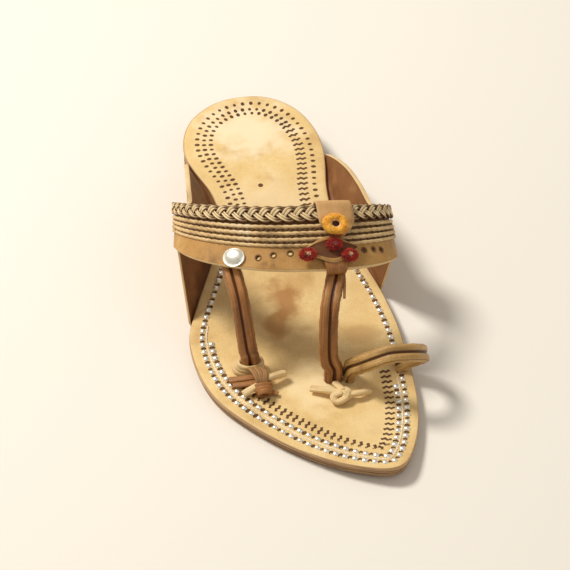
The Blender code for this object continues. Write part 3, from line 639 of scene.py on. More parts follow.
class GrowthTrees:
    """Geometry node trees that repeat small pieces along paths and over surfaces."""

    def __init__(self) -> None:
        """Build the trees."""
        self.row = self.make_row()
        self.cord = self.make_cord()
        self.tuft = self.make_tuft()

    def make_row(self) -> Tree:
        """Copies of one small piece at an even pitch along a path, standing on the surface under it."""
        sheet, given = new_group(
            "row_along_path", "GeometryNodeTree",
            [("Geometry", "Geometry", None), ("Piece", "Object", None),
             ("Pitch", "Float", 0.004), ("Unevenness", "Float", 0.1),
             ("Seed", "Int", 1), ("Material", "Material", None)],
            [("Geometry", "Geometry")])
        line = sheet.add("GeometryNodeMeshToCurve", {"Mesh": given["Geometry"]})
        inputs = {"Curve": line.outputs[0], "Length": given["Pitch"]}
        even = sheet.add("GeometryNodeResampleCurve", inputs, mode="LENGTH")
        lean = sheet.add("GeometryNodeInputNamedAttribute", {"Name": "lean"}, data_type="FLOAT_VECTOR")
        upright = sheet.add("FunctionNodeAlignRotationToVector", {"Vector": lean.outputs[0]}, axis="Z")
        tangent = sheet.add("GeometryNodeInputTangent")
        inputs = {"Rotation": upright.outputs[0], "Vector": tangent.outputs[0]}
        faced = sheet.add("FunctionNodeAlignRotationToVector", inputs, axis="X", pivot_axis="Z")
        low = sheet.math("SUBTRACT", 1.0, given["Unevenness"])
        high = sheet.math("ADD", 1.0, given["Unevenness"])
        inputs = {2: low, 3: high, "Seed": given["Seed"]}
        size = sheet.add("FunctionNodeRandomValue", inputs, data_type="FLOAT")
        self.plant(sheet, even, given["Piece"], faced, size, given["Material"])
        return sheet.tree

    def make_cord(self) -> Tree:
        """Two plies twisted round each other along a path."""
        sheet, given = new_group(
            "twisted_cord", "GeometryNodeTree",
            [("Geometry", "Geometry", None), ("Ply Radius", "Float", 0.0006),
             ("Ply Offset", "Float", 0.72), ("Pitch", "Float", 0.005),
             ("Material", "Material", None)],
            [("Geometry", "Geometry")])
        line = sheet.add("GeometryNodeMeshToCurve", {"Mesh": given["Geometry"]})
        inputs = {"Curve": line.outputs[0], "Length": sheet.math("DIVIDE", given["Pitch"], 12.0)}
        even = sheet.add("GeometryNodeResampleCurve", inputs, mode="LENGTH")
        gone = sheet.add("GeometryNodeSplineParameter").outputs["Length"]
        tilt = sheet.times(sheet.math("DIVIDE", gone, given["Pitch"]), math.tau)
        twist = sheet.add("GeometryNodeSetCurveTilt", {"Curve": even.outputs[0], "Tilt": tilt})
        offset = sheet.times(given["Ply Radius"], given["Ply Offset"])
        join = sheet.add("GeometryNodeJoinGeometry")
        for sign in (-1.0, 1.0):
            size = {"Resolution": 10, "Radius": given["Ply Radius"]}
            circle = sheet.add("GeometryNodeCurvePrimitiveCircle", size).outputs[0]
            shift = sheet.add("ShaderNodeCombineXYZ", {"X": sheet.times(offset, sign)}).outputs[0]
            ply = sheet.add("GeometryNodeTransform", {"Geometry": circle, "Translation": shift})
            sheet.tree.links.new(ply.outputs[0], join.inputs[0])
        inputs = {"Curve": twist.outputs[0], "Profile Curve": join.outputs[0], "Fill Caps": True}
        swept = sheet.add("GeometryNodeCurveToMesh", inputs)
        self.close(sheet, swept.outputs[0], given["Material"])
        return sheet.tree

    def make_tuft(self) -> Tree:
        """Locks that grow out of a surface, leaning unevenly."""
        sheet, given = new_group(
            "tuft_of_locks", "GeometryNodeTree",
            [("Geometry", "Geometry", None), ("Lock", "Object", None),
             ("Density", "Float", 1e6), ("Lean", "Float", 0.5),
             ("Seed", "Int", 1), ("Material", "Material", None)],
            [("Geometry", "Geometry")])
        points = sheet.add("GeometryNodeDistributePointsOnFaces",
                           {"Mesh": given["Geometry"], "Density": given["Density"], "Seed": given["Seed"]})
        back = sheet.times(given["Lean"], -1.0)
        low = sheet.add("ShaderNodeCombineXYZ", {"X": back, "Y": back, "Z": -math.pi})
        high = sheet.add("ShaderNodeCombineXYZ", {"X": given["Lean"], "Y": given["Lean"], "Z": math.pi})
        inputs = {0: low.outputs[0], 1: high.outputs[0], "Seed": given["Seed"]}
        lean = sheet.add("FunctionNodeRandomValue", inputs, data_type="FLOAT_VECTOR")
        inputs = {"Rotation": points.outputs["Rotation"], "Rotate By": lean.outputs[0]}
        faced = sheet.add("FunctionNodeRotateRotation", inputs, rotation_space="LOCAL")
        inputs = {2: 0.7, 3: 1.15, "Seed": given["Seed"]}
        size = sheet.add("FunctionNodeRandomValue", inputs, data_type="FLOAT")
        self.plant(sheet, points, given["Lock"], faced, size, given["Material"])
        return sheet.tree

    def plant(self, sheet: NodeSheet, points: Any, piece: Socket, faced: Any, size: Any,
              material: Socket) -> None:
        """End a tree with copies of a piece on points, from the nodes that place, turn and scale them."""
        copies = sheet.add("GeometryNodeObjectInfo", {"Object": piece}).outputs["Geometry"]
        inputs = {"Points": points.outputs[0], "Instance": copies, "Rotation": faced.outputs[0],
                  "Scale": size.outputs[1]}
        self.close(sheet, sheet.add("GeometryNodeInstanceOnPoints", inputs).outputs[0], material)

    @staticmethod
    def close(sheet: NodeSheet, geometry: Socket, material: Socket) -> None:
        """End a tree with real meshes in one material."""
        real = sheet.add("GeometryNodeRealizeInstances", {"Geometry": geometry})
        dressed = sheet.add("GeometryNodeSetMaterial", {"Geometry": real.outputs[0], "Material": material})
        sheet.add("NodeGroupOutput", {"Geometry": dressed.outputs[0]})

    @staticmethod
    def grow(name: str, base: Piece, tree: Tree, values: dict[str, Any]) -> Piece:
        """Run a tree on a base mesh and keep its result as a plain mesh.

        Args:
            name: Name of the new piece.
            base: Mesh that the tree starts from. It is removed.
            tree: The geometry node tree.
            values: Values of the tree's inputs by name.

        Returns:
            The new piece.
        """
        modifier = base.modifiers.new("growth", "NODES")
        modifier.node_group = tree
        for item in tree.interface.items_tree:
            if item.in_out == "INPUT" and item.name in values:
                modifier[item.identifier] = values[item.name]
        bpy.context.view_layer.update()
        mesh = bpy.data.meshes.new_from_object(base.evaluated_get(bpy.context.evaluated_depsgraph_get()))
        bpy.data.objects.remove(base)
        mesh.name = name
        mesh.shade_smooth()
        mesh.set_sharp_from_angle(angle=math.radians(60))
        return linked(name, mesh)


TREES = GrowthTrees()


def path_object(name: str, path: Points, lean: Points) -> Piece:
    """Mesh of edges along a path, which keeps the surface's direction at each point as an attribute."""
    mesh = bpy.data.meshes.new(name)
    mesh.from_pydata(path.tolist(), [(index, index + 1) for index in range(len(path) - 1)], [])
    attribute = mesh.attributes.new("lean", "FLOAT_VECTOR", "POINT")
    attribute.data.foreach_set("vector", np.broadcast_to(lean, path.shape).ravel().astype(np.float32))
    return linked(name, mesh)


def turned(profile: Sequence[tuple[float, float]], segments: int) -> Points:
    """Rings of a turned form.

    Args:
        profile: Radius and height of each ring.
        segments: Points in a ring.

    Returns:
        Array of rings, points and XYZ.
    """
    angles = full_turn(segments)
    x, y = np.cos(angles), np.sin(angles)
    return np.array([np.stack((radius * x, radius * y, np.full(segments, height)), 1)
                     for radius, height in profile])


def moved(points: Points, matrix: Matrix) -> Points:
    """Apply a matrix to an array of points."""
    grid = np.array(matrix)
    return points @ grid[:3, :3].T + grid[:3, 3]


def repeat_along(name: str, path: Points, lean: Points, piece: Draft, pitch: float, material: Material,
                 unevenness: float = 0.08, seed: int = 3) -> Piece:
    """Row of copies of a small piece along a path."""
    template = piece.build(name + "_piece", [material])
    values = {"Piece": template, "Pitch": pitch, "Unevenness": unevenness, "Seed": seed, "Material": material}
    made = GrowthTrees.grow(name, path_object(name + "_path", path, lean), TREES.row, values)
    bpy.data.objects.remove(template)
    return made


def joined(name: str, pieces: Sequence[Piece]) -> Piece:
    """Join pieces into one mesh object of a given name."""
    bm = bmesh.new()
    materials: list[Material] = []
    for piece in pieces:
        before = len(bm.faces)
        bm.from_mesh(piece.data)
        bm.faces.ensure_lookup_table()
        places = []
        for material in piece.data.materials:
            if material not in materials:
                materials.append(material)
            places.append(materials.index(material))
        for number in range(before, len(bm.faces)):
            face = bm.faces[number]
            face.material_index = places[min(face.material_index, len(places) - 1)]
    mesh = bpy.data.meshes.new(name)
    bm.to_mesh(mesh)
    bm.free()
    for material in materials:
        mesh.materials.append(material)
    for piece in pieces:
        bpy.data.objects.remove(piece)
    return linked(name, mesh)


@dataclass
class Dresser:
    """What the dressed groups of pieces share: the finished materials by their short titles."""

    finishes: dict[str, Material] = field(default_factory=dict)

    def looks(self, *titles: str) -> list[Material]:
        """Materials of the given titles."""
        return [self.finishes[title] for title in titles]


@dataclass(frozen=True)
class RimRow:
    """A row of marks that runs at an even distance inside the footbed's edge.

    Attributes:
        name: Name of the piece.
        insets: Distances from the edge, evenly spread along the row.
        start: Side and distance from the heel's back where it starts.
        end: Side and distance where it ends. The row runs from the lateral side round the toe to the medial
            side, or from the medial side round the heel to the lateral side.
        pitch: Distance between marks.
        late: Share of the pitch by which its first mark is late.
    """

    name: str
    insets: tuple[float, ...]
    start: tuple[Side, float]
    end: tuple[Side, float]
    pitch: float
    late: float = 0.0


# The sole's layers: solid, finishes of its upper face and of its edge, and the record's slot
SOLE_LAYERS = (
    ("outsole", "outsole_top", "sole_edge", "sole_leather"),
    ("heel_lift", "outsole_top", "sole_edge", "sole_leather"),
    ("midsole", "outsole_top", "sole_edge", "sole_leather"),
    ("footbed", "footbed", "footbed_edge", "footbed_leather"),
)

# Rows on the footbed: metal beads, heel dots, strokes with their length, and the line between the bead rows
BEAD_ROWS = (
    RimRow("outer_beads", (0.0058, 0.0062, 0.0060, 0.0050, 0.0054, 0.0054, 0.0056),
           (LATERAL, 0.104), (MEDIAL, 0.104), 0.00485),
    RimRow("inner_beads", (0.0104, 0.0112, 0.0106, 0.0095, 0.0092),
           (LATERAL, 0.160), (MEDIAL, 0.203), 0.00485, 0.5),
)
DOT_ROWS = (
    RimRow("heel_dots_outer", (0.0058, 0.0060, 0.0056, 0.0070, 0.0066),
           (MEDIAL, 0.090), (LATERAL, 0.090), 0.0041),
    RimRow("heel_dots_middle", (0.0104, 0.0100, 0.0104, 0.0100), (MEDIAL, 0.018), (LATERAL, 0.092), 0.0035),
    RimRow("heel_dots_inner", (0.0130, 0.0132, 0.0138, 0.0134), (MEDIAL, 0.018), (LATERAL, 0.094), 0.0035),
)
STROKE_ROWS = (
    (RimRow("toe_strokes", (0.0166, 0.0163, 0.0150, 0.0138, 0.0130),
            (LATERAL, 0.203), (MEDIAL, 0.196), 0.0035), 0.0051),
    (RimRow("heel_strokes", (0.0118, 0.0116, 0.0118), (MEDIAL, 0.092), (MEDIAL, 0.021), 0.0036), 0.0053),
)
CHANNEL_ROW = RimRow("bead_channel_line", (0.0082, 0.0088, 0.0080, 0.0076, 0.0076),
                     (LATERAL, 0.150), (MEDIAL, 0.201), 0.003)
CHANNEL_PLY = 0.00032

# Marks: length and width of a notch between beads and of a heel dot, width and swing of a wavy stroke
NOTCH = (0.0025, 0.0017)
HEEL_DOT = (0.0021, 0.0015)
STROKE = (0.00138, 0.00036)

# The single punched mark: its X, its distance from the heel's back and its radius
SINGLE_MARK = (-0.0031, 0.067, 0.0011)

# A hair more than 1, so that rounding doesn't drop the last mark of a row
ROUNDING = 1.0001


@dataclass
class SoleStack(Dresser):
    """The sole's four leather layers and the punched and beaded rows on the footbed."""

    edge_round: float = 0.0005
    bead_radius: float = 0.00150
    bead_height: float = 0.00100
    rim_step: float = 0.0010
    rim_passes: int = 14
    row_passes: int = 5
    rims: dict[str, Points] = field(default_factory=dict)
    upper_loop: Points | None = None

    def face_loop(self, node: str, upward: bool) -> Points:
        """Boundary loop of a solid's upper or lower face, from the heel's back along the lateral side."""
        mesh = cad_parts[node].data
        raw = np.array([vertex.co for vertex in mesh.vertices]).round(7)
        places, number = np.unique(raw, axis=0, return_inverse=True)
        faces = number.ravel()[np.array([list(face.vertices) for face in mesh.polygons])]
        corners = places[faces]
        normals = unit(np.cross(corners[:, 1] - corners[:, 0], corners[:, 2] - corners[:, 0]))
        chosen = faces[normals[:, 2] > 0.9 if upward else normals[:, 2] < -0.9]
        directed = {(face[step], face[(step + 1) % 3]) for face in chosen for step in range(3)}
        follow = {first: second for first, second in directed if (second, first) not in directed}
        start = max(follow, key=lambda index: places[index][1])
        order = [start]
        while follow[order[-1]] != start and len(order) <= len(follow):
            order.append(follow[order[-1]])
        loop = places[order]
        if loop[len(loop) // 4][0] > loop[:, 0].mean():
            loop = np.roll(loop[::-1], 1, axis=0)
        return loop

    def smooth_loop(self, loop: Points) -> Points:
        """Even out a loop's short chords, but for its sharp corners."""
        closed = np.concatenate((loop, loop[:1]))
        even = evenly(closed, self.rim_step)[:-1]
        run = unit(np.roll(even, -3, 0) - even)
        back = unit(even - np.roll(even, 3, 0))
        sharp = (run * back).sum(1) < 0.75
        held = np.any([np.roll(sharp, step) for step in (-1, 0, 1)], 0)
        for _ in range(self.rim_passes):
            mean = 0.25 * np.roll(even, 1, 0) + 0.5 * even + 0.25 * np.roll(even, -1, 0)
            even = np.where(held[:, None], even, mean)
        return even

    @staticmethod
    def height_at(loop: Points, y: Points) -> Points:
        """Height of a face at a world Y, from its boundary loop."""
        order = np.argsort(loop[:, 1])
        return np.interp(y, loop[order, 1], loop[order, 2])

    @staticmethod
    def spine_of(rim: Points) -> Points:
        """Point of the layer's middle line that belongs to each point of its rim."""
        low, high = rim[:, 1].min(), rim[:, 1].max()
        margin = 0.30 * (rim[:, 0].max() - rim[:, 0].min())
        y = np.clip(rim[:, 1], low + margin, high - margin)
        heel, toe = rim[:, 1].argmax(), rim[:, 1].argmin()
        first, second = sorted((heel, toe))
        x = np.zeros(len(rim))
        for side in (rim[first:second + 1], np.concatenate((rim[second:], rim[:first + 1]))):
            side = side[np.argsort(side[:, 1])]
            x += np.interp(y, side[:, 1], side[:, 0]) / 2
        return np.stack((x, y), 1)

    def layer(self, node: str, top_finish: str, edge_finish: str) -> Piece:
        """One layer with an even, slightly rounded edge in place of its faceted solid.

        Args:
            node: Name of the solid.
            top_finish: Finish of its upper face.
            edge_finish: Finish of its cut edge and underside.

        Returns:
            The dressed layer.
        """
        under, over = self.face_loop(node, False), self.face_loop(node, True)
        rim = self.smooth_loop(under)
        self.rims[node] = rim
        spine = self.spine_of(rim)
        inward = spine - rim[:, :2]
        reach = np.linalg.norm(inward, axis=1)[:, None]
        rounding = self.edge_round

        def ring(inset: float, share: float, upper: float, lift: float) -> Points:
            """Ring at an inset, a share of the way to the middle line, a share of the height and a lift."""
            flat = rim[:, :2] + inward * np.minimum(1.0, share + inset / reach)
            low, high = self.height_at(under, flat[:, 1]), self.height_at(over, flat[:, 1])
            return np.concatenate((flat, (low + (high - low) * upper + lift)[:, None]), 1)

        below = [ring(0.0, share, 0.0, 0.0) for share in (1.0, 0.6, 0.25)]
        wall = [ring(0.5 * rounding, 0.0, 0.0, 0.0), ring(0.0, 0.0, 0.0, 0.5 * rounding),
                ring(0.0, 0.0, 1.0, -rounding), ring(0.25 * rounding, 0.0, 1.0, -0.35 * rounding),
                ring(rounding, 0.0, 1.0, 0.0)]
        above = [ring(rounding, share, 1.0, 0.0) for share in (0.0, 0.06, 0.14, 0.25, 0.4, 0.6, 0.8, 1.0)]
        draft = Draft()
        draft.grid(np.array(below + wall), 1, loop=True)
        draft.grid(np.array(above), 0, loop=True)
        return draft.build(node + "_leather", self.looks(top_finish, edge_finish), sharp=60.0)

    def top_at(self, y: Any) -> Any:
        """Height of the footbed's upper face, a hair clear of it, at a world Y."""
        return self.height_at(self.upper_loop, y) + CLEARANCE

    def row_path(self, row: RimRow) -> Points:
        """Path of a row on the footbed's upper face."""
        rim = self.rims["footbed"]
        run = unit((np.roll(rim, -1, 0) - np.roll(rim, 1, 0))[:, :2])
        inward = np.stack((-run[:, 1], run[:, 0]), 1)
        if (inward * (self.spine_of(rim) - rim[:, :2])).sum() < 0:
            inward = -inward
        toe = int(rim[:, 1].argmin())

        def index_at(side: Side, along: float) -> int:
            """Number of the rim's point on a side at a distance from the heel's back."""
            numbers = np.arange(0, toe) if side is LATERAL else np.arange(toe, len(rim))
            return int(numbers[np.abs(along_of(rim[numbers, 1]) - along).argmin()])

        first, last = index_at(*row.start), index_at(*row.end)
        picked = np.arange(first, last if last > first else last + len(rim)) % len(rim)
        share = np.linspace(0, len(row.insets) - 1, len(picked))
        insets = smooth_rows(np.array(row.insets)[:, None], 60)[:, 0]
        inset = np.interp(share, np.linspace(0, len(row.insets) - 1, 61), insets)
        flat = rim[picked, :2] + inward[picked] * inset[:, None]
        gaps = np.linalg.norm(flat[:, None] - rim[None, ::2, :2], axis=2).min(1)
        kept = flat[gaps > inset - 0.0003]
        for _ in range(self.row_passes):
            kept[1:-1] = 0.25 * kept[:-2] + 0.5 * kept[1:-1] + 0.25 * kept[2:]
        path = np.concatenate((kept, self.height_at(self.upper_loop, kept[:, 1])[:, None]), 1)
        gone = travelled(path)
        return path[gone >= row.late * row.pitch]

    @staticmethod
    def stretch(path: Points, start: float, steps: int, pitch: float) -> Points:
        """Part of a path that is a whole number of pitches long."""
        marks = start + np.linspace(0, steps * pitch * ROUNDING, 6 * steps + 1)
        gone = travelled(path)
        return np.stack([np.interp(marks, gone, path[:, axis]) for axis in range(3)], 1)

    def bead(self) -> Draft:
        """One domed metal bead."""
        radius, height = self.bead_radius, self.bead_height
        draft = Draft()
        profile = [(radius * math.cos(angle), height * math.sin(angle)) for angle in (0.0, 0.45, 0.9, 1.3)]
        draft.grid(turned([(radius, -0.0002)] + profile + [(0.0, height)], 14), loop=True)
        draft.grid(turned([(radius, -0.0002), (0.0, -0.0002)], 14), loop=True)
        return draft

    @staticmethod
    def pit(length: float, width: float) -> Draft:
        """One punched mark: a shallow dark pit with a slightly raised lip."""
        draft = Draft()
        profile = [(1.25, -0.00010), (1.0, 0.00014), (0.7, 0.00004), (0.0, 0.00002)]
        rings = turned(profile, 8)
        rings[..., 0] *= width / 2
        rings[..., 1] *= length / 2
        draft.grid(rings, loop=True)
        draft.grid(turned([(1.25, -0.0001), (0.0, -0.0001)], 8) * (width / 2, length / 2, 1), loop=True)
        return draft

    @staticmethod
    def wavy_stroke(length: float, width: float, swing: float) -> Draft:
        """One long punched stroke with two waves in it, lying across the row."""
        draft = Draft()
        share = np.linspace(-1, 1, 17)
        middle = np.stack((swing * np.sin(share * 2.0 * math.pi), share * length / 2, np.zeros(17)), 1)
        taper = np.sqrt(np.clip(1.02 - share ** 6, 0, 1))
        rows = []
        for off, height in ((-1.3, -0.0001), (-0.8, 0.00014), (0.0, 0.00003), (0.8, 0.00014), (1.3, -0.0001)):
            line = middle.copy()
            line[:, 0] += off * taper * width / 2
            line[:, 2] += height
            rows.append(line)
        sections = np.array(rows).transpose(1, 0, 2)
        draft.tube(sections)
        return draft

    def marks(self, name: str, path: Points, piece: Draft, pitch: float, unevenness: float = 0.15) -> None:
        """Row of punched marks on the footbed."""
        made = repeat_along(name, path, UP, piece, pitch, self.finishes["punched"], unevenness)
        hand_over(made, "footbed_leather")

    def bead_row(self, row: RimRow) -> None:
        """Row of metal beads with a dark notch between each two."""
        path = self.row_path(row)
        steps = int(travelled(path)[-1] / row.pitch)
        under = self.stretch(path, 0.0, steps, row.pitch)
        hand_over(repeat_along(row.name, under, UP, self.bead(), row.pitch, self.finishes["bead"]), "silver")
        between = self.stretch(path, row.pitch / 2, steps - 1, row.pitch)
        self.marks(row.name + "_notches", between, self.pit(*NOTCH), row.pitch)

    def channel(self) -> Piece:
        """The pale line between the bead rows."""
        values = {"Ply Radius": CHANNEL_PLY, "Ply Offset": 0.5, "Pitch": 0.004,
                  "Material": self.finishes["channel"]}
        base = path_object("channel", self.row_path(CHANNEL_ROW), UP)
        return GrowthTrees.grow(CHANNEL_ROW.name, base, TREES.cord, values)

    def single_mark(self) -> Piece:
        """The one punched mark on the heel."""
        x, along, radius = SINGLE_MARK
        y = along_of(along)
        rings = turned([(0.0, 0.00012), (0.6, 0.00014), (1.0, 0.00022), (1.25, -0.0001), (0.0, -0.0001)], 12)
        draft = Draft()
        draft.grid(rings * (radius, radius, 1.0) + (x, y, self.top_at(y) - CLEARANCE), loop=True)
        return draft.build("single_punch_mark", self.looks("punched"))

    def build(self) -> None:
        """Dress the sole and its decoration."""
        self.upper_loop = self.face_loop("footbed", True)
        for node, top_finish, edge_finish, slot in SOLE_LAYERS:
            hand_over(self.layer(node, top_finish, edge_finish), slot, node)
        for row in BEAD_ROWS:
            self.bead_row(row)
        for row in DOT_ROWS:
            self.marks(row.name, self.row_path(row), self.pit(*HEEL_DOT), row.pitch)
        for row, length in STROKE_ROWS:
            self.marks(row.name, self.row_path(row), self.wavy_stroke(length, *STROKE), row.pitch, 0.06)
        hand_over(self.channel(), "footbed_leather")
        hand_over(self.single_mark(), "footbed_leather")


# Places on the band, across and down
EYELETS = ((-0.247, 0.820), (-0.159, 0.768), (-0.063, 0.735), (0.434, 0.746), (0.520, 0.752), (0.600, 0.780))
DISC_PLACE = (-0.390, 0.855)
TAB_ACROSS = 0.262
ROSETTE_PLACE = (0.232, 0.365)
MEDALLION_PLACE = (0.188, 0.722)
POMPOM_PLACES = ((0.206, 0.661), (0.030, 0.800), (0.290, 0.848))
FOLD_ACROSS = 0.200

# Full width and thickness of the tab and of the fold
TAB_SIZE = (0.0160, 0.0012)
FOLD_SIZE = (0.0104, 0.0013)

# Cords: place down the band and radius of a ply. Stitch rows: place down the band
CORD_ROWS = ((0.325, 0.00085), (0.430, 0.00085), (0.530, 0.00085), (0.620, 0.00070))
STITCH_ROWS = (0.378, 0.480, 0.578)

# The plait: length of one whole weave, width of a strand and how far strands pass over each other
PLAIT_PERIOD = 0.0159
PLAIT_STRAND = 0.0029
PLAIT_RISE = 0.00055

# The instep wall: rows along each ear and along the band, and points down it
EAR_ROWS = 37
BAND_ROWS = 97
WALL_COLUMNS = 49

# Radius of an eyelet's hole, and how far its punch reaches to either side
EYELET_RADIUS = 0.00105
PUNCH_REACH = 0.006

# The disc: radius and height, and shares of them for each ring of its profile
DISC_SIZE = (0.0054, 0.0021)
DISC_PROFILE = ((0.0, 1.0), (0.3, 0.97), (0.6, 0.80), (0.82, 0.52), (0.88, 0.34), (0.94, 0.36), (1.0, 0.22),
                (0.99, 0.02), (0.9, 0.0), (0.0, 0.0))

# The medallion: half its length and width, and the shares of them inside its border
MEDALLION_HALF = (0.0130, 0.0065)
MEDALLION_FIELD = (0.93, 0.80)

# The rosette: turns and radius of its yarn, radius and height of its ring, and a turn's reach out and up
ROSETTE_TURNS = 46
ROSETTE_YARN = 0.00034
ROSETTE_RING = (0.00435, 0.0018)
ROSETTE_REACH = (0.00205, 0.00150)


@dataclass
class InstepBand(Dresser):
    """The eared instep band: its wall, twisted cords, plait and everything fixed on it.

    Corner fields hold out as a share of the ball width, along of the sole's length and up of the instep's
    height, first at the rear edge and then at the front edge.
    """

    crown: tuple = ((-0.010, 0.545, 1.000), (0.020, 0.650, 0.770))
    ends: dict = field(default_factory=lambda: {
        LATERAL: ((-0.462, 0.392, 0.620), (-0.512, 0.490, 0.550)),
        MEDIAL: ((0.458, 0.462, 0.625), (0.468, 0.568, 0.530)),
    })
    tops: dict = field(default_factory=lambda: {
        LATERAL: ((-0.405, 0.370, 0.540), (-0.510, 0.494, 0.500)),
        MEDIAL: ((0.418, 0.432, 0.560), (0.462, 0.562, 0.470)),
    })
    feet: dict = field(default_factory=lambda: {LATERAL: (0.0455, 0.1480), MEDIAL: (0.0500, 0.1395)})
    skew: float = 0.0030
    plait_share: float = 0.27
    turn_out: float = 0.0034
    turn_up: float = 0.0022
    rear_bow: float = 0.0062
    seam_share: float = 0.90
    sole: SoleStack | None = None

    def inner(self, across: Any, down: Any) -> Points:
        """Points of the band's inner face, across from -1 to 1 and down from its rear to its front edge."""
        across, down = np.broadcast_arrays(np.asarray(across, float), np.asarray(down, float))
        reach, rise = np.abs(np.sin(across * math.pi / 2)), np.cos(across * math.pi / 2)
        lateral = (across < 0)[..., None]
        edges = []
        for edge in (0, 1):
            top = shoe_place(*self.crown[edge])
            foot = np.where(lateral, shoe_place(*self.ends[LATERAL][edge]),
                            shoe_place(*self.ends[MEDIAL][edge]))
            x = top[0] + (foot[..., 0] - top[0]) * reach
            y = foot[..., 1] + (top[1] - foot[..., 1]) * rise - self.skew * np.sin(math.pi * across)
            z = foot[..., 2] + (top[2] - foot[..., 2]) * rise
            edges.append(np.stack((x, y, z), -1))
        return edges[0] + (edges[1] - edges[0]) * down[..., None]

    def axes(self, across: Any, down: Any) -> tuple[Points, Points]:
        """Directions across the band and out of it."""
        step = 0.01
        across, down = np.broadcast_arrays(np.asarray(across, float), np.asarray(down, float))
        run = unit(self.inner(across + step, down) - self.inner(across - step, down))
        fall = self.inner(across, down + step) - self.inner(across, down - step)
        outward = unit(np.cross(fall, run))
        return run, np.where(outward[..., 2:] > 0, outward, -outward)

    def on(self, across: Any, down: Any, lift: Any) -> Points:
        """Points at a lift above the inner face."""
        return self.inner(across, down) + self.axes(across, down)[1] * np.asarray(lift)[..., None]

    def matrix(self, across: float, down: float, lift: float) -> Matrix:
        """Place on the band for an ornament: X across, Y to the heel and Z outwards."""
        run, outward = self.axes(across, down)
        axes = Matrix((run, np.cross(outward, run), outward)).transposed().to_4x4()
        return Matrix.Translation(Vector(self.on(across, down, lift))) @ axes

    def across_at(self, down: float, lift: float, step: float, margin: float = 0.0) -> Points:
        """Places across the band at an even distance along it."""
        across = np.linspace(-1, 1, 401)
        gone = travelled(self.on(across, down, lift))
        marks = np.linspace(margin, gone[-1] - margin, max(3, round((gone[-1] - 2 * margin) / step)))
        return np.interp(marks, gone, across)

    def length(self) -> float:
        """Length of the band's outer face along its plait."""
        return float(travelled(self.on(np.linspace(-1, 1, 81), self.plait_share / 2, BAND_WALL))[-1])

    def foot_line(self, side: Side, shares: Points, out: Any, up: Any) -> Points:
        """Line along an ear's foot, out from the footbed's edge."""
        rim = self.sole.rims["footbed"]
        toe = int(rim[:, 1].argmin())
        part = rim[:toe] if side is LATERAL else rim[toe:]
        order = np.argsort(along_of(part[:, 1]))
        part = part[order]
        rear, front = self.feet[side]
        marks = rear + (front - rear) * shares
        line = np.stack([np.interp(marks, along_of(part[:, 1]), part[:, axis]) for axis in range(3)], 1)
        run = unit(np.gradient(line, axis=0)[:, :2])
        away = np.stack((run[:, 1], -run[:, 0]), 1)
        away = away if (away[:, 0] > 0).mean() > 0.5 else -away
        away = away if side is MEDIAL else -away
        line[:, :2] += away * np.broadcast_to(out, len(shares))[:, None]
        line[:, 2] += up - CLEARANCE
        return line

    def ear(self, side: Side, shares: Points) -> tuple[list[Points], list[float]]:
        """Lines of an ear from its tucked foot up to the band, and the wall's thickness at each."""
        spread = 0.12 + 0.88 * np.sin(math.pi * shares)
        tucked = self.foot_line(side, shares, -0.0012, 0.0)
        edge = self.foot_line(side, shares, 0.0, 0.0)
        turning = self.foot_line(side, shares, CLEARANCE + 0.4 * self.turn_out * spread, 0.15 * self.turn_up)
        low = self.foot_line(side, shares, CLEARANCE + self.turn_out * spread, self.turn_up)
        lines, walls = [tucked, edge, turning, low], [0.0014, 0.0014, 0.0014, EAR_WALL]
        rear, front = (shoe_place(*corner) for corner in self.tops[side])
        high = rear + (front - rear) * shares[:, None]
        for rise in (0.25, 0.5, 0.75, 1.0):
            line = low + (high - low) * rise
            line[:, 2] += self.rear_bow * math.sin(math.pi * rise) * (1 - shares) ** 2
            lines.append(line)
            walls.append(EAR_WALL)
        end = self.inner(-1.0 if side is LATERAL else 1.0, shares)
        lines.append(lines[-1] + (end - lines[-1]) * self.seam_share)
        walls.append(EAR_WALL)
        return lines, walls

    def wall(self) -> Piece:
        """The leather wall of ears and band, with its eyelets punched."""
        downs = np.linspace(0, 1, WALL_COLUMNS)
        left, right = self.ear(LATERAL, downs), self.ear(MEDIAL, downs)
        parts, walls = [], []
        for lines, thick in (left, (right[0][::-1], right[1][::-1])):
            parts.append(smooth_rows(np.array(lines), EAR_ROWS - 1))
            walls.append(np.interp(np.linspace(0, len(lines) - 1, EAR_ROWS), range(len(lines)), thick))
        band = self.inner(np.linspace(-1, 1, BAND_ROWS)[:, None], downs[None, :])
        rows = np.concatenate((parts[0], band, parts[1]))
        wall = np.concatenate((walls[0], np.full(BAND_ROWS, BAND_WALL), walls[1]))
        outward = unit(np.cross(np.gradient(rows, axis=0), np.gradient(rows, axis=1)))
        if outward[len(rows) // 2, WALL_COLUMNS // 2, 2] < 0:
            outward = -outward
        from_end = np.minimum(np.arange(len(rows)), np.arange(len(rows))[::-1])[:, None]
        # Painted shade on the band's face from its rear edge to past the last cord, under the plait and
        # between the cords, not on the ears; the face is also darker along its front edge.
        cord_groove_shade = np.clip((0.66 - downs) / 0.03, 0, 1) * np.clip((from_end - EAR_ROWS + 2) / 3, 0, 1)
        front_edge_dark = 0.35 * np.exp(-((downs - 1.0) / 0.05) ** 2)
        skived = 1 - 0.5 * np.exp(-((downs - 1.0) / 0.07) ** 2)
        thickness = wall[:, None] * np.where(from_end < EAR_ROWS, skived, 1.0)
        draft = Draft()
        draft.shell(rows, thickness, outward, recess=np.maximum(cord_groove_shade, front_edge_dark))
        piece = draft.build("instep_wall", self.looks("band", "lining", "pale_edge"), sharp=50.0)
        holes = Draft()
        for across, down in EYELETS:
            rings = turned([(0.0, -PUNCH_REACH), (EYELET_RADIUS, -PUNCH_REACH), (EYELET_RADIUS, PUNCH_REACH),
                            (0.0, PUNCH_REACH)], 16)
            holes.grid(moved(rings, self.matrix(across, down, BAND_WALL / 2)), loop=True)
        cutter = holes.build("eyelet_punch", self.looks("lining"))
        cut = piece.modifiers.new("eyelets", "BOOLEAN")
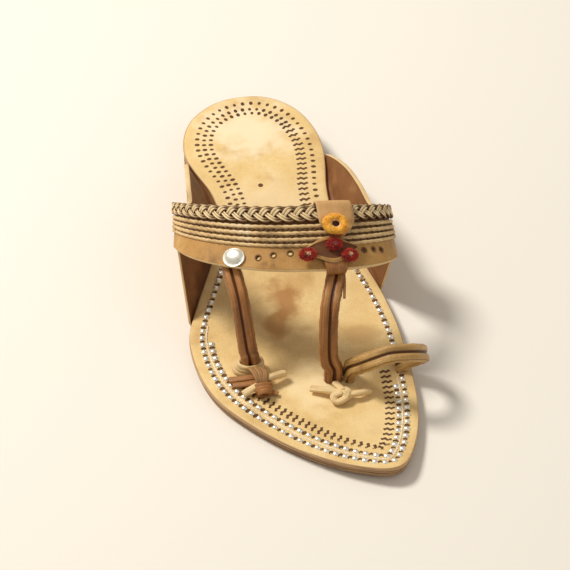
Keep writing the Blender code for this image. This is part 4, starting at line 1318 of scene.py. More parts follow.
        cut.object = cutter
        cut.operation = "DIFFERENCE"
        cut.solver = "EXACT"
        bpy.context.view_layer.update()
        mesh = bpy.data.meshes.new_from_object(piece.evaluated_get(bpy.context.evaluated_depsgraph_get()))
        piece.modifiers.clear()
        piece.data = mesh
        bpy.data.objects.remove(cutter)
        return piece

    def cords(self) -> Piece:
        """The raised cords across the band, twisted from two plies each."""
        made = []
        for number, (down, ply) in enumerate(CORD_ROWS):
            across = self.across_at(down, BAND_WALL, 0.0012, 0.0008)
            path = self.on(across, down, BAND_WALL + 0.45 * ply)
            lean = self.axes(across, down)[1]
            values = {"Ply Radius": ply, "Ply Offset": 0.26, "Pitch": 0.0075,
                      "Material": self.finishes["cord"]}
            base = path_object("cord_path", path, lean)
            made.append(GrowthTrees.grow(f"cord_{number}", base, TREES.cord, values))
        return joined("band_cords", made)

    def stitch_rows(self) -> Piece:
        """Dark stitch holes in the grooves between the cords."""
        made = []
        for number, down in enumerate(STITCH_ROWS):
            across = self.across_at(down, BAND_WALL, 0.0012, 0.0012)
            path = self.on(across, down, BAND_WALL + 0.0002)
            lean = self.axes(across, down)[1]
            piece = Draft()
            rings = turned([(0.55, -0.0003), (1.0, 0.0003), (0.6, 0.0006), (0.0, 0.0007)], 8)
            rings = rings * (0.00115, 0.00062, 1.0)
            piece.grid(moved(rings, Matrix.Rotation(math.radians(24), 4, "Z")), loop=True)
            made.append(repeat_along(f"groove_{number}", path, lean, piece, 0.0023,
                                     self.finishes["punched"], 0.2, number))
        return joined("groove_stitches", made)

    def plait(self) -> Piece:
        """Three doubled thongs plaited along the rear edge."""
        down_middle = self.plait_share / 2
        run = self.length()
        fall = float(np.linalg.norm(self.inner(0.0, 1.0) - self.inner(0.0, 0.0)))
        period = run / round(run / PLAIT_PERIOD)
        marks = np.linspace(0.0006, run - 0.0006, round(run / 0.00045))
        across_marks = np.linspace(-1, 1, 401)
        gone = travelled(self.on(across_marks, down_middle, BAND_WALL))
        swing = (self.plait_share * fall - PLAIT_STRAND) / 2
        lift_middle = BAND_WALL + CLEARANCE + 0.0010
        draft = Draft()
        angle = full_turn(10)
        for strand in range(3):
            phase = math.tau * (marks / period + strand / 3)
            off = swing * np.sin(phase)
            lift = lift_middle + PLAIT_RISE * np.sin(2 * phase)
            slope = swing * math.tau / period * np.cos(phase)
            side = np.stack((-slope, np.ones_like(slope)), 1) / np.sqrt(1 + slope ** 2)[:, None]
            for half in (-1, 1):
                width = 0.25 * PLAIT_STRAND
                places = half * width * 1.02 + 0.98 * width * np.cos(angle)[None, :]
                s = marks[:, None] + side[:, :1] * places
                y = off[:, None] + side[:, 1:] * places
                up = lift[:, None] + 0.00052 * np.sin(angle)[None, :]
                across = np.interp(s, gone, across_marks)
                # Painted shade on the plait: darker where a strand passes under, at its edges and middle
                # valley, on its underside and at the outer turns.
                under = np.clip(0.5 - 0.5 * np.sin(2 * phase), 0, 1)[:, None] * 0.45
                rim = np.clip(np.abs(places) / width - 1.25, 0, 1) * 1.3
                valley = np.clip(0.35 - np.abs(places) / width, 0, 1)
                flank = np.clip(-np.sin(angle), 0, 1)[None, :]
                outer = np.clip(np.abs(off) / swing - 0.62, 0, 1)[:, None] * 0.9
                recess = under + rim + valley + flank + outer
                draft.tube(self.on(across, down_middle + y / fall, up), recess=recess)
        return draft.build("plaited_strands", self.looks("plait"), sharp=80.0)

    def strip(self, name: str, across: float, rows: Points, width: float, wall: float,
              materials: Sequence[str], crown: float = 0.0) -> Piece:
        """Leather strip over the band.

        Args:
            name: Name of the piece.
            across: Place of its middle line.
            rows: Place down the band, lift and share of the width for each row.
            width: Full width.
            wall: Thickness.
            materials: Finishes of outer face, inner face and edges.
            crown: Extra lift along its middle line.

        Returns:
            The strip.
        """
        fine = smooth_rows(rows, 8 * (len(rows) - 1))
        offs = np.linspace(-1, 1, 15)
        reach = fine[:, 2:3] * width / self.length()
        lift = fine[:, 1:2] + crown * fine[:, 2:3] * (1 - offs ** 2)
        grid = self.on(across + offs * reach, fine[:, :1], lift)
        fall, run = np.gradient(grid, axis=0), np.gradient(grid, axis=1)
        outward = unit(np.cross(fall, run))
        if (outward * self.axes(across, 0.3)[1]).sum() < 0:
            outward = -outward
        draft = Draft()
        draft.shell(grid, np.full(grid.shape[:2], wall), outward)
        return draft.build(name, self.looks(*materials), sharp=50.0)

    def keeper_tab(self) -> Piece:
        """The tab over the plait, pointed below."""
        high = BAND_WALL + 2 * CLEARANCE + 0.0022
        low = BAND_WALL + 0.0018
        rows = ((-0.028, 0.0012, 1.0), (-0.030, 0.6 * high, 1.0), (0.01, high, 1.0),
                (0.13, high + 0.0002, 1.02), (0.26, high, 1.03), (0.34, low, 0.94), (0.42, low, 0.72),
                (0.49, low, 0.38), (0.535, low, 0.06))
        looks = ("tab", "lining", "tab_edge")
        return self.strip("keeper_tab_leather", TAB_ACROSS, rows, *TAB_SIZE, looks, 0.0002)

    def strap_fold(self) -> Piece:
        """The fold of the medial strap over the front edge."""
        lift = BAND_WALL + CLEARANCE
        rows = ((0.74, lift, 0.70), (0.80, lift + 0.0004, 0.92), (0.90, lift + 0.0005, 1.0),
                (0.98, lift + 0.0002, 0.96), (1.025, 0.72 * lift, 0.90), (1.030, 0.2 * lift, 0.84),
                (1.00, -0.0006, 0.80))
        looks = ("strap", "lining", "strap")
        return self.strip("strap_fold_leather", FOLD_ACROSS, rows, *FOLD_SIZE, looks, 0.0004)

    def medallion(self) -> Piece:
        """The leaf-shaped plate under the pompoms, with a raised border."""
        across, down = MEDALLION_PLACE
        lift = BAND_WALL + 2 * CLEARANCE + 0.0014
        fall = float(np.linalg.norm(self.inner(across, 1.0) - self.inner(across, 0.0)))
        offs, sides = np.linspace(-1, 1, 41), np.linspace(-1, 1, 17)
        half = MEDALLION_HALF[1] / fall * np.maximum(1 - np.abs(offs) ** 1.5, 0.04)
        border = 0.0004 * np.exp(-((np.abs(sides) - MEDALLION_FIELD[1]) / 0.10) ** 2)
        grid = self.on((across + offs * MEDALLION_HALF[0] / self.length() * 2)[:, None],
                       down + half[:, None] * sides[None, :], lift + np.zeros((len(offs), len(sides))))
        outward = self.axes(across, down)[1]
        long_part, wide_part = (np.abs(part[:-1] + part[1:]) / 2 for part in (offs, sides))
        inside = (wide_part < MEDALLION_FIELD[1])[None, :] & (long_part < MEDALLION_FIELD[0])[:, None]
        draft = Draft()
        thickness = 0.0011 + np.broadcast_to(border, grid.shape[:2])
        draft.shell(grid, thickness, np.broadcast_to(outward, grid.shape), (np.where(inside, 3, 0), 1, 2))
        return draft.build("medallion_leather", self.looks("band", "lining", "tab_edge", "medallion"))

    def disc(self) -> Piece:
        """The domed silver disc with a rolled rim."""
        radius, dome = DISC_SIZE
        profile = [(share * radius, rise * dome) for share, rise in DISC_PROFILE]
        draft = Draft()
        place = self.matrix(*DISC_PLACE, BAND_WALL + CLEARANCE) @ Matrix.Diagonal((1.03, 0.88, 1, 1))
        draft.grid(moved(turned(profile, 48), place), loop=True)
        return draft.build("stud_disc_metal", self.looks("silver"))

    def rosette(self) -> Piece:
        """The rosette: yarn wound round a ring, with a dark disc in its eye as painted shade of the hole, and
        a short darker fringe.
        """
        place = self.matrix(*ROSETTE_PLACE, BAND_WALL + 0.0042) @ Matrix.Diagonal((1, 0.82, 1, 1))
        (radius, height), (out_reach, up_reach) = ROSETTE_RING, ROSETTE_REACH
        section, tube = full_turn(12), full_turn(6)[:, None]
        draft = Draft()
        for number in range(ROSETTE_TURNS):
            turn = math.tau * number / ROSETTE_TURNS
            swing = 1 + 0.05 * math.sin(5 * turn) + 0.03 * math.sin(11 * turn)
            loop = np.stack((radius + out_reach * swing * np.cos(section), 0.00022 * np.sin(3 * section),
                             height + up_reach * swing * np.sin(section)), 1)[:, None]
            out = np.cos(tube) * ROSETTE_YARN * unit(loop - (radius, 0.0, height))
            sections = loop + out + np.sin(tube) * ROSETTE_YARN * (0.0, 1.0, 0.0)
            sections = np.concatenate((sections, sections[:1]))
            draft.grid(moved(moved(sections, Matrix.Rotation(turn, 4, "Z")), place), loop=True)
        ring = draft.build("rosette_yarn", self.looks("orange_wool"), sharp=80.0)
        eye, rim = Draft(), Draft()
        # Painted shade: a dark disc in the ring's eye stands for the shade inside the hole.
        eye.grid(moved(turned([(0.0028, 0.0002), (0.0024, 0.0008), (0.0, 0.0006)], 20), place), loop=True)
        eye.grid(moved(turned([(0.0028, 0.0002), (0.0, 0.0002)], 20), place), loop=True)
        dark = eye.build("rosette_eye", self.looks("punched"))
        circle = [(0.00225 + 0.00040 * math.cos(angle), 0.0022 + 0.00040 * math.sin(angle))
                  for angle in np.linspace(0, math.tau, 9)]
        rim.grid(moved(turned(circle, 24), place), loop=True)
        pale = rim.build("rosette_eye_rim", self.looks("pale_wool"))
        fringe = self.tuft("rosette_fringe", place @ Matrix.Translation((0.0, -0.0046, 0.0)),
                           ((0.0030, 0.0), (0.0022, 0.0008), (0.0, 0.0010)), 3.2e6, "ember_wool", 0.0016, 5)
        return joined("rosette_wool", [ring, dark, pale, fringe])

    def eyelet_rims(self) -> Piece:
        """The dark pressed rims round the eyelets."""
        draft = Draft()
        for across, down in EYELETS:
            profile = [(0.00102, -0.0005), (0.00106, 0.00012), (0.00140, 0.00024), (0.00172, 0.00010),
                       (0.00178, -0.0004)]
            draft.grid(moved(turned(profile, 20), self.matrix(across, down, BAND_WALL)), loop=True)
        return draft.build("eyelet_rims", self.looks("eyelet"), sharp=80.0)

    def tuft(self, name: str, place: Matrix, profile: Sequence[tuple[float, float]], density: float,
             finish: str, length: float, seed: int) -> Piece:
        """Locks of wool growing out of a small mound.

        Args:
            name: Name of the piece.
            place: Where the mound stands.
            profile: Radius and height of the mound.
            density: Locks to a square metre.
            finish: Finish of the wool.
            length: Length of a lock.
            seed: Seed of the scatter.

        Returns:
            The mound and its locks.
        """
        mound = Draft()
        mound.grid(moved(turned(profile, 16), place), loop=True)
        base = mound.build(name + "_mound", self.looks(finish))
        kept = mound.build(name + "_core", self.looks(finish))
        lock = Draft()
        shares = np.linspace(0, 1, 5)
        round_about = full_turn(5)
        thick = 0.00022 * np.array((1.0, 1.1, 0.9, 0.6, 0.15))
        sections = [np.stack((radius * np.cos(round_about) + 0.3 * length * share ** 2,
                              radius * np.sin(round_about), np.full(5, length * share)), 1)
                    for share, radius in zip(shares, thick)]
        lock.tube(np.array(sections))
        template = lock.build(name + "_lock", self.looks(finish))
        values = {"Lock": template, "Density": density, "Lean": 0.5, "Seed": seed,
                  "Material": self.finishes[finish]}
        grown = GrowthTrees.grow(name + "_locks", base, TREES.tuft, values)
        bpy.data.objects.remove(template)
        return joined(name, [kept, grown])

    def pompom(self, number: int) -> Piece:
        """One pompom of red locks round a pale middle."""
        place = self.matrix(*POMPOM_PLACES[number], BAND_WALL + 0.0034) @ Matrix.Diagonal((1.12, 0.80, 1, 1))
        name = f"pompom_{number + 1}"
        profile = ((0.0031, 0.0), (0.0030, 0.0010), (0.0022, 0.0018), (0.0010, 0.0019))
        skirt = self.tuft(name + "_skirt", place, profile, 9.0e6, "red_wool", 0.0012, 11 + number)
        place = place @ Matrix.Translation((0.0, 0.0, 0.0014))
        profile = ((0.0011, 0.0), (0.0009, 0.0008), (0.0, 0.0011))
        # The first pompom's middle is rose wool, a painted highlight on it.
        finish = "pale_wool" if number else "rose_wool"
        middle = self.tuft(name + "_middle", place, profile, 7e6, finish, 0.0009, 21 + number)
        return joined(name + "_wool", [skirt, middle])

    def build(self) -> None:
        """Dress the band and its ornaments."""
        for piece, slot, *nodes in (
            (self.wall, "band_leather", "upper"),
            (self.eyelet_rims, "band_leather"),
            (self.cords, "band_leather"),
            (self.stitch_rows, "band_leather"),
            (self.plait, "strap_leather", "plaited_braid"),
            (self.keeper_tab, "band_leather", "keeper_tab"),
            (self.strap_fold, "strap_leather", "strap_fold"),
            (self.medallion, "band_leather", "medallion"),
            (self.disc, "silver", "stud_disc"),
            (self.rosette, "yellow_wool", "rosette"),
        ):
            hand_over(piece(), slot, *nodes)
        for number in range(len(POMPOM_PLACES)):
            hand_over(self.pompom(number), "red_wool", f"pompom_{number + 1}")


# The straps: where they stand, where they start across the band, and two places between
STRAP_FEET = {LATERAL: (-0.264, 0.697), MEDIAL: (0.108, 0.749)}
STRAP_TOPS = {LATERAL: -0.440, MEDIAL: 0.215}
STRAP_BENDS = {
    LATERAL: ((-0.290, 0.652, 0.560), (-0.272, 0.688, 0.260)),
    MEDIAL: ((0.105, 0.712, 0.600), (0.088, 0.742, 0.300)),
}

# The toe ring: its feet, the places between them with their share of its rise, and its rise
RING_FEET = ((0.180, 0.748), (0.435, 0.738))
RING_ROWS = ((0.190, 0.758, 0.34), (0.226, 0.776, 0.57), (0.281, 0.793, 0.82), (0.347, 0.803, 1.00),
             (0.419, 0.800, 0.96), (0.486, 0.787, 0.80), (0.524, 0.767, 0.56), (0.505, 0.748, 0.33))
RING_RISE = 0.0260

# Length that the ties' shares are measured in
TIE_SPREAD = 0.0140

# Loose end beside the medial strap: place along its path, then out and lift from there
LOOSE_END = ((18, 0.0036, 0.0006), (24, 0.0046, 0.0002), (31, 0.0060, -0.0004))

# Points round one of a strap's two rolls, and where its lap seam lies, in degrees
LOBE_TURNS = np.linspace(-146, 146, 31)
LAP_SEAM = 44.0


@dataclass
class ToeStraps(Dresser):
    """The two toe straps, the toe ring and the thongs knotted at the straps' feet."""

    strap_radius: float = 0.0025
    ring_radius: float = 0.00248
    spacing: float = 0.84
    band: InstepBand | None = None
    sole: SoleStack | None = None

    def seat(self, foot: tuple[float, float], rise: float = 0.0) -> Points:
        """World point at a rise above the footbed."""
        point = shoe_place(foot[0], foot[1], 0.0)
        point[2] = self.sole.top_at(point[1]) + rise
        return point

    def section(self, radius: float) -> Points:
        """Outline of two rolled cords side by side, mirrored, with a lap seam along each."""
        angles = np.radians(LOBE_TURNS)
        off_seam = angles - math.radians(LAP_SEAM)
        lap = 1 + 0.06 * np.tanh(off_seam * 14) * np.exp(-(off_seam / 0.7) ** 2)
        reach = radius * lap
        lobe = np.stack((self.spacing * radius + reach * np.cos(angles), reach * np.sin(angles)), 1)
        return np.concatenate((lobe, lobe[::-1] * (-1.0, 1.0)))

    def doubled_cord(self, name: str, path: Points, radius: float, sideways: tuple[Points, Points],
                     finish: str) -> Piece:
        """Two rolled cords side by side along a path.

        Args:
            name: Name of the piece.
            path: Middle line.
            radius: Radius of a cord.
            sideways: Sideways direction at the start and at the end.
            finish: Its leather.

        Returns:
            The doubled cord.
        """
        run = unit(np.gradient(path, axis=0))
        share = np.linspace(0, 1, len(path))[:, None]
        level = sideways[0] + (sideways[1] - sideways[0]) * share
        side = unit(level - run * (level * run).sum(1)[:, None])
        face = np.cross(run, side)
        gone = travelled(path)
        swell = 1 + 0.020 * np.sin(gone * 900) + 0.015 * np.sin(gone * 2300 + 1)
        outline = self.section(radius)
        grid = (path[:, None] + side[:, None] * outline[None, :, :1] * swell[:, None, None]
                + face[:, None] * outline[None, :, 1:] * swell[:, None, None])
        turn = np.concatenate((LOBE_TURNS, LOBE_TURNS[::-1]))
        # Painted shade in the groove between the two rolls and at both ends, where the piece goes under the
        # band or meets the footbed; the lap seam line is a dark joint.
        groove = np.clip((np.abs(turn) - 108) / 26, 0, 1)
        seam = 0.80 * np.exp(-((turn - LAP_SEAM) / 9) ** 2)
        ends = 0.4 * np.exp(-gone / 0.004) + 0.5 * np.exp((gone - gone[-1]) / 0.004)
        draft = Draft()
        draft.tube(grid, round_ends=0.0003, recess=np.maximum(groove, seam)[None, :] + ends[:, None])
        return draft.build(name, self.looks(finish), sharp=70.0)

    def strap(self, side: Side) -> Piece:
        """A toe strap from under the band's front edge down to the footbed."""
        clear = -(CLEARANCE + self.strap_radius)
        top = STRAP_TOPS[side]
        points = [self.band.on(top, down, clear) for down in (0.66, 0.99)]
        points += [shoe_place(*bend) for bend in STRAP_BENDS[side]]
        points += [self.seat(STRAP_FEET[side], rise * self.strap_radius) for rise in (3.0, 1.2, 0.0)]
        sideways = (self.band.axes(top, 0.99)[0], np.array((1.0, 0.0, 0.0)))
        path = smooth_rows(np.array(points), 110)
        made = self.doubled_cord(f"strap_{side.value}_leather", path, self.strap_radius, sideways, "strap")
        if side is LATERAL:
            return made
        loose = Draft()
        rows = [path[place] + np.array((out, -0.0008, lift)) for place, out, lift in LOOSE_END]
        self.thong(loose, smooth_rows(np.array(rows), 14), 0.0013, 0.0010)
        return joined(made.name, [made, loose.build("loose_end", self.looks("strap"))])

    def ring(self) -> Piece:
        """The loop for the big toe."""
        start, end = RING_FEET
        points = [self.seat(start, rise * self.ring_radius) for rise in (0.0, 1.2)]
        points += [self.seat((out, along), up * RING_RISE) for out, along, up in RING_ROWS]
        points += [self.seat(end, rise * self.ring_radius) for rise in (1.2, 0.0)]
        crown = points[len(points) // 2]
        sideways = unit(np.cross(crown - points[0], points[-1] - points[0]))
        path = smooth_rows(np.array(points), 150)
        return self.doubled_cord("toe_ring_leather", path, self.ring_radius, (sideways, sideways), "ring")

    def thong(self, draft: Draft, path: Points, width: float, height: float, slot: int = 0,
              looped: bool = False, flat: Points | None = None) -> None:
        """Flat leather thong with rounded edges along a path.

        Args:
            draft: Mesh that it is added to.
            path: Its middle line.
            width: Full width.
            height: Full thickness.
            slot: Material place.
            looped: Whether the path closes on itself.
            flat: Direction of its flat face. Upwards by default.
        """
        run = unit(np.roll(path, -1, 0) - np.roll(path, 1, 0)) if looped else unit(np.gradient(path, axis=0))
        up = np.broadcast_to(UP if flat is None else flat, path.shape)
        side = unit(np.cross(run, up))
        face = unit(np.cross(side, run))
        angle = full_turn(14)
        x, y = np.cos(angle), np.sin(angle)
        across = np.sign(x) * np.abs(x) ** 0.6 * width / 2
        thick = np.sign(y) * np.abs(y) ** 0.8 * height / 2 * (1 - 0.18 * np.cos(3 * angle))
        grid = path[:, None] + side[:, None] * across[:, None] + face[:, None] * thick[:, None]
        if looped:
            draft.grid(np.concatenate((grid, grid[:1])), slot, loop=True)
        else:
            draft.tube(grid, slot, round_ends=0.0002)

    def strand(self, side: Side, shares: Sequence[Sequence[float]], count: int = 26) -> Points:
        """Smooth path through points given as shares of the tie's spread."""
        rows = np.array(shares, float) * TIE_SPREAD
        seat = self.seat(STRAP_FEET[side])
        return seat + smooth_rows(rows, count) * (1.0, -1.0, 1.0)

    def turns(self, centre: Points, radii: tuple[float, float], across: Points, up: Points, shift: Points,
              count: int = 22) -> Points:
        """One closed turn of a thong round something."""
        angle = full_turn(count)[:, None]
        x, y = np.cos(angle), np.sin(angle)
        return centre + across * radii[0] * x + up * radii[1] * y + shift * y

    def lateral_tie(self) -> Piece:
        """The thong at the lateral strap's foot: a pale wrap, a brown knot and two pale ends."""
        side = LATERAL
        seat = self.seat(STRAP_FEET[side])
        level, forward = np.array((1.0, 0.0, 0.0)), np.array((0.0, -1.0, 0.0))
        draft = Draft()
        for shift, reach, depth, rise in (
            (-0.0009, 0.0068, 0.0046, 0.0012),
            (-0.0004, 0.0062, 0.0042, 0.0028),
            (0.0000, 0.0057, 0.0038, 0.0043),
        ):
            centre = seat + level * shift + UP * rise
            ring = self.turns(centre, (reach, depth), level, -forward, UP * 0.0003)
            self.thong(draft, ring, 0.0018, 0.0021, 0, True, unit(ring - centre))
        for offset, reach in ((-0.0026, 0.0036), (-0.0004, 0.0040), (0.0018, 0.0037), (0.0038, 0.0028)):
            centre = seat + level * 0.0036 + forward * (0.0166 + offset) + UP * 0.0026
            turn = self.turns(centre, (reach, 0.0026), level, UP, forward * 0.0013)
            self.thong(draft, turn, 0.0027, 0.0014, 2, True, unit(turn - centre))
        for shift in (-0.17, 0.0, 0.17):
            over = ((0.10 + shift, 0.30, 0.30), (0.16 + shift, 0.54, 0.44), (0.22 + shift, 0.82, 0.48),
                    (0.24 + 0.7 * shift, 1.06, 0.40), (0.25 + 0.4 * shift, 1.24, 0.20))
            self.thong(draft, self.strand(side, over), 0.0025, 0.0016, 1)
        for shares, width, height, slot in (
            (((0.14, 0.66, 0.20), (-0.30, 0.66, 0.20), (-0.80, 0.58, 0.12)), 0.0034, 0.0018, 2),
            (((0.16, 0.88, 0.18), (-0.28, 0.90, 0.16), (-0.72, 0.84, 0.11)), 0.0032, 0.0016, 2),
            (((0.30, 1.20, 0.18), (0.52, 1.36, 0.12), (0.72, 1.46, 0.09)), 0.0026, 0.0014, 2),
            (((0.24, 0.96, 0.32), (0.62, 0.84, 0.32), (1.10, 0.66, 0.24)), 0.0036, 0.0028, 0),
            (((0.22, 1.10, 0.26), (-0.08, 1.20, 0.22), (-0.44, 1.34, 0.13)), 0.0034, 0.0026, 0),
        ):
            self.thong(draft, self.strand(side, shares), width, height, slot)
        return draft.build("tie_lateral_thong", self.looks("thong", "knot", "strap"), sharp=80.0)

    def medial_tie(self) -> Piece:
        """The pale thong at the medial strap's foot, tied in a flat knot."""
        side = MEDIAL
        draft = Draft()
        strands = (
            ((0.00, 0.34, 0.16), (0.08, 0.58, 0.20), (0.20, 0.90, 0.30)),
            ((0.22, 0.95, 0.20), (-0.28, 0.74, 0.22), (-0.86, 0.46, 0.13)),
            ((0.22, 0.96, 0.18), (0.65, 1.02, 0.22), (1.12, 0.88, 0.13)),
            ((0.20, 0.92, 0.24), (-0.16, 1.00, 0.20), (-0.10, 1.22, 0.12), (0.20, 1.18, 0.20),
             (0.32, 0.94, 0.28)),
        )
        for shares in strands:
            self.thong(draft, self.strand(side, shares), 0.0034, 0.0022)
        seat = self.seat(STRAP_FEET[side])
        centre = seat + np.array((0.24, -0.95, 0.16)) * TIE_SPREAD
        slant = unit(np.array((0.55, -0.83, 0.0)))
        across = unit(np.array((0.83, 0.55, 0.0)))
        for offset in (-0.0011, 0.0011):
            middle = centre + across * offset
            turn = self.turns(middle, (0.0030, 0.0021), slant, UP, across * 0.0005)
            self.thong(draft, turn, 0.0024, 0.0013, 0, True, unit(turn - middle))
        return draft.build("tie_medial_thong", self.looks("thong"), sharp=80.0)

    def build(self) -> None:
        """Dress the straps, the ring and the ties."""
        for side in Side:
            hand_over(self.strap(side), "strap_leather", f"strap_{side.value}")
        hand_over(self.ring(), "strap_leather", "toe_ring")
        hand_over(self.lateral_tie(), "thong_leather", "tie_lateral")
        hand_over(self.medial_tie(), "thong_leather", "tie_medial")


# Spots on the footbed: a painted pool of light over the heel, a paler patch behind the band, a stain between
# the straps, a brown patch by the toe ring and paler patches on the forefoot
FOOTBED_SPOTS = (
    # Painted pool of light: the pale spot over the heel.
    Spot((-0.002, 0.105, 0.0155), 0.030, (1.0, 1.0, 3.0), (0.95, 0.80, 0.55), 0.75),
    Spot((0.000, 0.050, 0.0125), 0.030, (1.2, 1.0, 3.0), (0.90, 0.72, 0.45), 0.45),
    Spot((0.003, 0.001, 0.0090), 0.012, (0.9, 1.1, 3.0), (0.56, 0.29, 0.08), 0.45),
    Spot((-0.003, -0.009, 0.0080), 0.014, (0.8, 1.1, 3.0), (0.42, 0.18, 0.045), 0.80),
    Spot((-0.010, -0.023, 0.0075), 0.011, (0.8, 1.1, 3.0), (0.50, 0.22, 0.05), 0.70),
    Spot((0.003, -0.029, 0.0070), 0.006, (1.3, 0.8, 3.0), (0.56, 0.32, 0.12), 0.55),
    Spot((0.029, -0.037, 0.0070), 0.011, (1.2, 0.9, 3.0), (0.58, 0.33, 0.12), 0.55),
    Spot((0.003, -0.070, 0.0060), 0.022, (1.1, 1.0, 3.0), (0.97, 0.80, 0.48), 0.55),
    Spot((0.024, -0.100, 0.0070), 0.016, (1.0, 1.1, 3.0), (0.93, 0.72, 0.38), 0.40),
)

# Finishes by their short titles
FINISHES = {
    "footbed": Leather(
        "footbed_tan", (0.82, 0.58, 0.25), (0.52, 0.30, 0.10), (0.95, 0.77, 0.42),
        roughness=0.52, grain=1100.0, depth=0.00008, drift=0.55, coat=0.05, spots=FOOTBED_SPOTS),
    "footbed_edge": StackedEdge("footbed_cut_edge", (0.62, 0.40, 0.19), (0.30, 0.15, 0.06)),
    "sole_edge": StackedEdge("sole_cut_edge", (0.46, 0.27, 0.12), (0.13, 0.06, 0.025)),
    "outsole_top": Leather(
        "outsole_margin", (0.50, 0.31, 0.14), (0.22, 0.11, 0.05), (0.66, 0.46, 0.25),
        roughness=0.6),
    "band": Leather(
        "band_strip", (0.53, 0.28, 0.078), (0.11, 0.042, 0.010), (0.72, 0.45, 0.17),
        grain=1300.0, depth=0.00007, drift=0.7, recess_shade=0.9),
    "eyelet": Leather(
        "eyelet_rim", (0.22, 0.11, 0.04), (0.07, 0.03, 0.012), (0.38, 0.21, 0.09),
        roughness=0.6, grain=1500.0),
    # The medallion's own dark brown, made darker still as painted shade under the pompoms.
    "medallion": Leather(
        "medallion_dark", (0.17, 0.055, 0.014), (0.06, 0.02, 0.006), (0.30, 0.12, 0.04),
        grain=1300.0),
    "lining": Leather(
        "ear_lining", (0.27, 0.11, 0.036), (0.11, 0.04, 0.012), (0.42, 0.21, 0.08),
        roughness=0.6, grain=1000.0, depth=0.0001, drift=0.8),
    "pale_edge": Leather(
        "pale_cut_edge", (0.76, 0.55, 0.28), (0.48, 0.28, 0.10), (0.90, 0.74, 0.46),
        roughness=0.6, grain=1500.0, depth=0.00006, drift=0.5),
    "channel": Leather("channel_line", (0.93, 0.82, 0.60), (0.62, 0.45, 0.25), (0.97, 0.90, 0.74)),
    "cord": Leather(
        "cord_leather", (0.80, 0.55, 0.26), (0.16, 0.07, 0.02), (0.96, 0.80, 0.52),
        grain=1500.0, depth=0.00007, drift=0.9),
    "plait": Leather(
        "plait_leather", (0.88, 0.67, 0.36), (0.14, 0.058, 0.016), (0.97, 0.85, 0.58),
        grain=1500.0, depth=0.00007, drift=0.6, streaks=0.3, recess_shade=1.0),
    "tab": Leather(
        "tab_leather", (0.66, 0.38, 0.15), (0.34, 0.16, 0.05), (0.86, 0.62, 0.33),
        grain=1200.0, depth=0.00007, drift=0.6),
    "tab_edge": Leather(
        "tab_cut_edge", (0.62, 0.40, 0.20), (0.32, 0.17, 0.07), (0.78, 0.58, 0.34),
        roughness=0.6),
    "strap": Leather(
        "strap_leather", (0.42, 0.175, 0.045), (0.085, 0.022, 0.004), (0.68, 0.38, 0.14),
        roughness=0.42, grain=1400.0, depth=0.00008, drift=0.5, streaks=0.45, recess_shade=0.95, coat=0.15),
    "ring": Leather(
        "ring_leather", (0.58, 0.34, 0.105), (0.10, 0.034, 0.007), (0.86, 0.62, 0.28),
        roughness=0.42, grain=1400.0, depth=0.00008, drift=0.5, streaks=0.45, recess_shade=0.95, coat=0.15),
    "thong": Leather(
        "thong_leather", (0.88, 0.66, 0.33), (0.40, 0.20, 0.06), (0.97, 0.86, 0.58),
        roughness=0.6, grain=1500.0, depth=0.00008, drift=0.5, streaks=0.6),
    "knot": Leather(
        "knot_leather", (0.42, 0.22, 0.08), (0.09, 0.034, 0.010), (0.70, 0.46, 0.20),
        roughness=0.55, grain=1500.0, depth=0.00008, drift=0.6, streaks=0.7),
    "punched": Leather(
        "punched_dark", (0.135, 0.065, 0.022), (0.05, 0.022, 0.008), (0.22, 0.11, 0.04),
        roughness=0.75),
    "bead": Metal("bead_metal", (0.98, 0.95, 0.87), (0.60, 0.53, 0.40), roughness=0.26),
    "silver": Metal("disc_metal", (0.98, 0.94, 0.82), (0.58, 0.52, 0.40), roughness=0.24),
    "orange_wool": Wool("orange_wool", (1.0, 0.56, 0.07), (0.76, 0.29, 0.02)),
    "ember_wool": Wool("ember_wool", (0.50, 0.12, 0.02), (0.22, 0.04, 0.01)),
    "red_wool": Wool("red_wool", (0.56, 0.045, 0.018), (0.24, 0.012, 0.006)),
    # Rose wool for the painted highlight on the first pompom's middle.
    "rose_wool": Wool("rose_wool", (0.62, 0.22, 0.20), (0.36, 0.08, 0.07)),
    "pale_wool": Wool("pale_wool", (0.88, 0.66, 0.44), (0.60, 0.32, 0.18)),
}


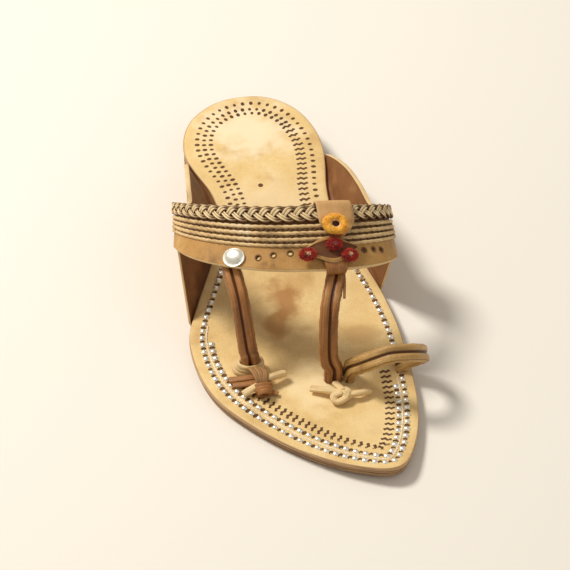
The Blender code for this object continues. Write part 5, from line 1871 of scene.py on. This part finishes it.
@dataclass(frozen=True)
class Studio:
    """Pale floor, soft key light from the upper left behind the sandal, gentle fill and the camera."""

    floor_size: float = 6.0
    floor_colour: Colour = (0.82, 0.77, 0.69)
    key_power: float = 22.0
    fill_power: float = 2.2
    world_strength: float = 0.42

    def aimed(self, thing: Piece, place: Sequence[float]) -> Piece:
        """Put a light or the camera in a place and turn it to the sandal."""
        target = Vector(CAMERA_TARGET)
        thing.location = place
        thing.rotation_euler = (target - Vector(place)).to_track_quat("-Z", "Y").to_euler()
        bpy.context.scene.collection.objects.link(thing)
        return thing

    def light(self, name: str, place: Sequence[float], size: float, power: float, colour: Colour) -> None:
        """Add a soft area light."""
        data = bpy.data.lights.new(name, "AREA")
        data.shape = "DISK"
        data.size = size
        data.energy = power
        data.color = colour
        self.aimed(bpy.data.objects.new(name, data), place)

    def floor(self) -> None:
        """Add the pale floor."""
        half = self.floor_size / 2
        mesh = bpy.data.meshes.new("studio_floor")
        corners = [(-half, -half, 0), (half, -half, 0), (half, half, 0), (-half, half, 0)]
        mesh.from_pydata(corners, [], [(0, 1, 2, 3)])
        material, sheet, shader = new_surface("pale_floor")
        drift = sheet.noise(sheet.place(), 3.0, 2.0)
        paler = tuple(min(1.0, 1.06 * part) for part in self.floor_colour)
        colour = sheet.mix(drift, opaque(self.floor_colour), opaque(paler))
        sheet.tree.links.new(colour, shader.inputs["Base Color"])
        shader.inputs["Roughness"].default_value = 0.85
        mesh.materials.append(material)
        made = linked("studio_floor", mesh)

    def build(self) -> None:
        """Build floor, lights, world and camera."""
        self.floor()
        self.light("key_light", (-0.75, 0.55, 1.25), 0.45, self.key_power, (1.0, 0.97, 0.92))
        self.light("fill_light", (0.9, -0.9, 1.0), 1.4, self.fill_power, (1.0, 0.98, 0.96))
        world = bpy.data.worlds.new("soft_world")
        world.use_nodes = True
        background = world.node_tree.nodes["Background"]
        background.inputs["Color"].default_value = (1.0, 0.95, 0.87, 1.0)
        background.inputs["Strength"].default_value = self.world_strength
        bpy.context.scene.world = world
        flat, rise = math.cos(CAMERA_ELEVATION), math.sin(CAMERA_ELEVATION)
        toward = Vector((-math.sin(CAMERA_YAW) * flat, -math.cos(CAMERA_YAW) * flat, rise))
        data = bpy.data.cameras.new("photo_camera")
        data.lens = CAMERA_LENS
        place = Vector(CAMERA_TARGET) + toward * CAMERA_DISTANCE
        bpy.context.scene.camera = self.aimed(bpy.data.objects.new("photo_camera", data), place)
        bpy.context.scene.view_settings.view_transform = "Standard"


def main() -> None:
    """Build the sandal's looks and its stage."""
    logging.basicConfig(level=logging.INFO, format="%(name)s: %(message)s")
    finishes = {title: finish.build() for title, finish in FINISHES.items()}
    sole = SoleStack(finishes=finishes)
    sole.build()
    band = InstepBand(finishes=finishes, sole=sole)
    band.build()
    ToeStraps(finishes=finishes, band=band, sole=sole).build()
    Studio().build()


if __name__ == "__main__":
    main()
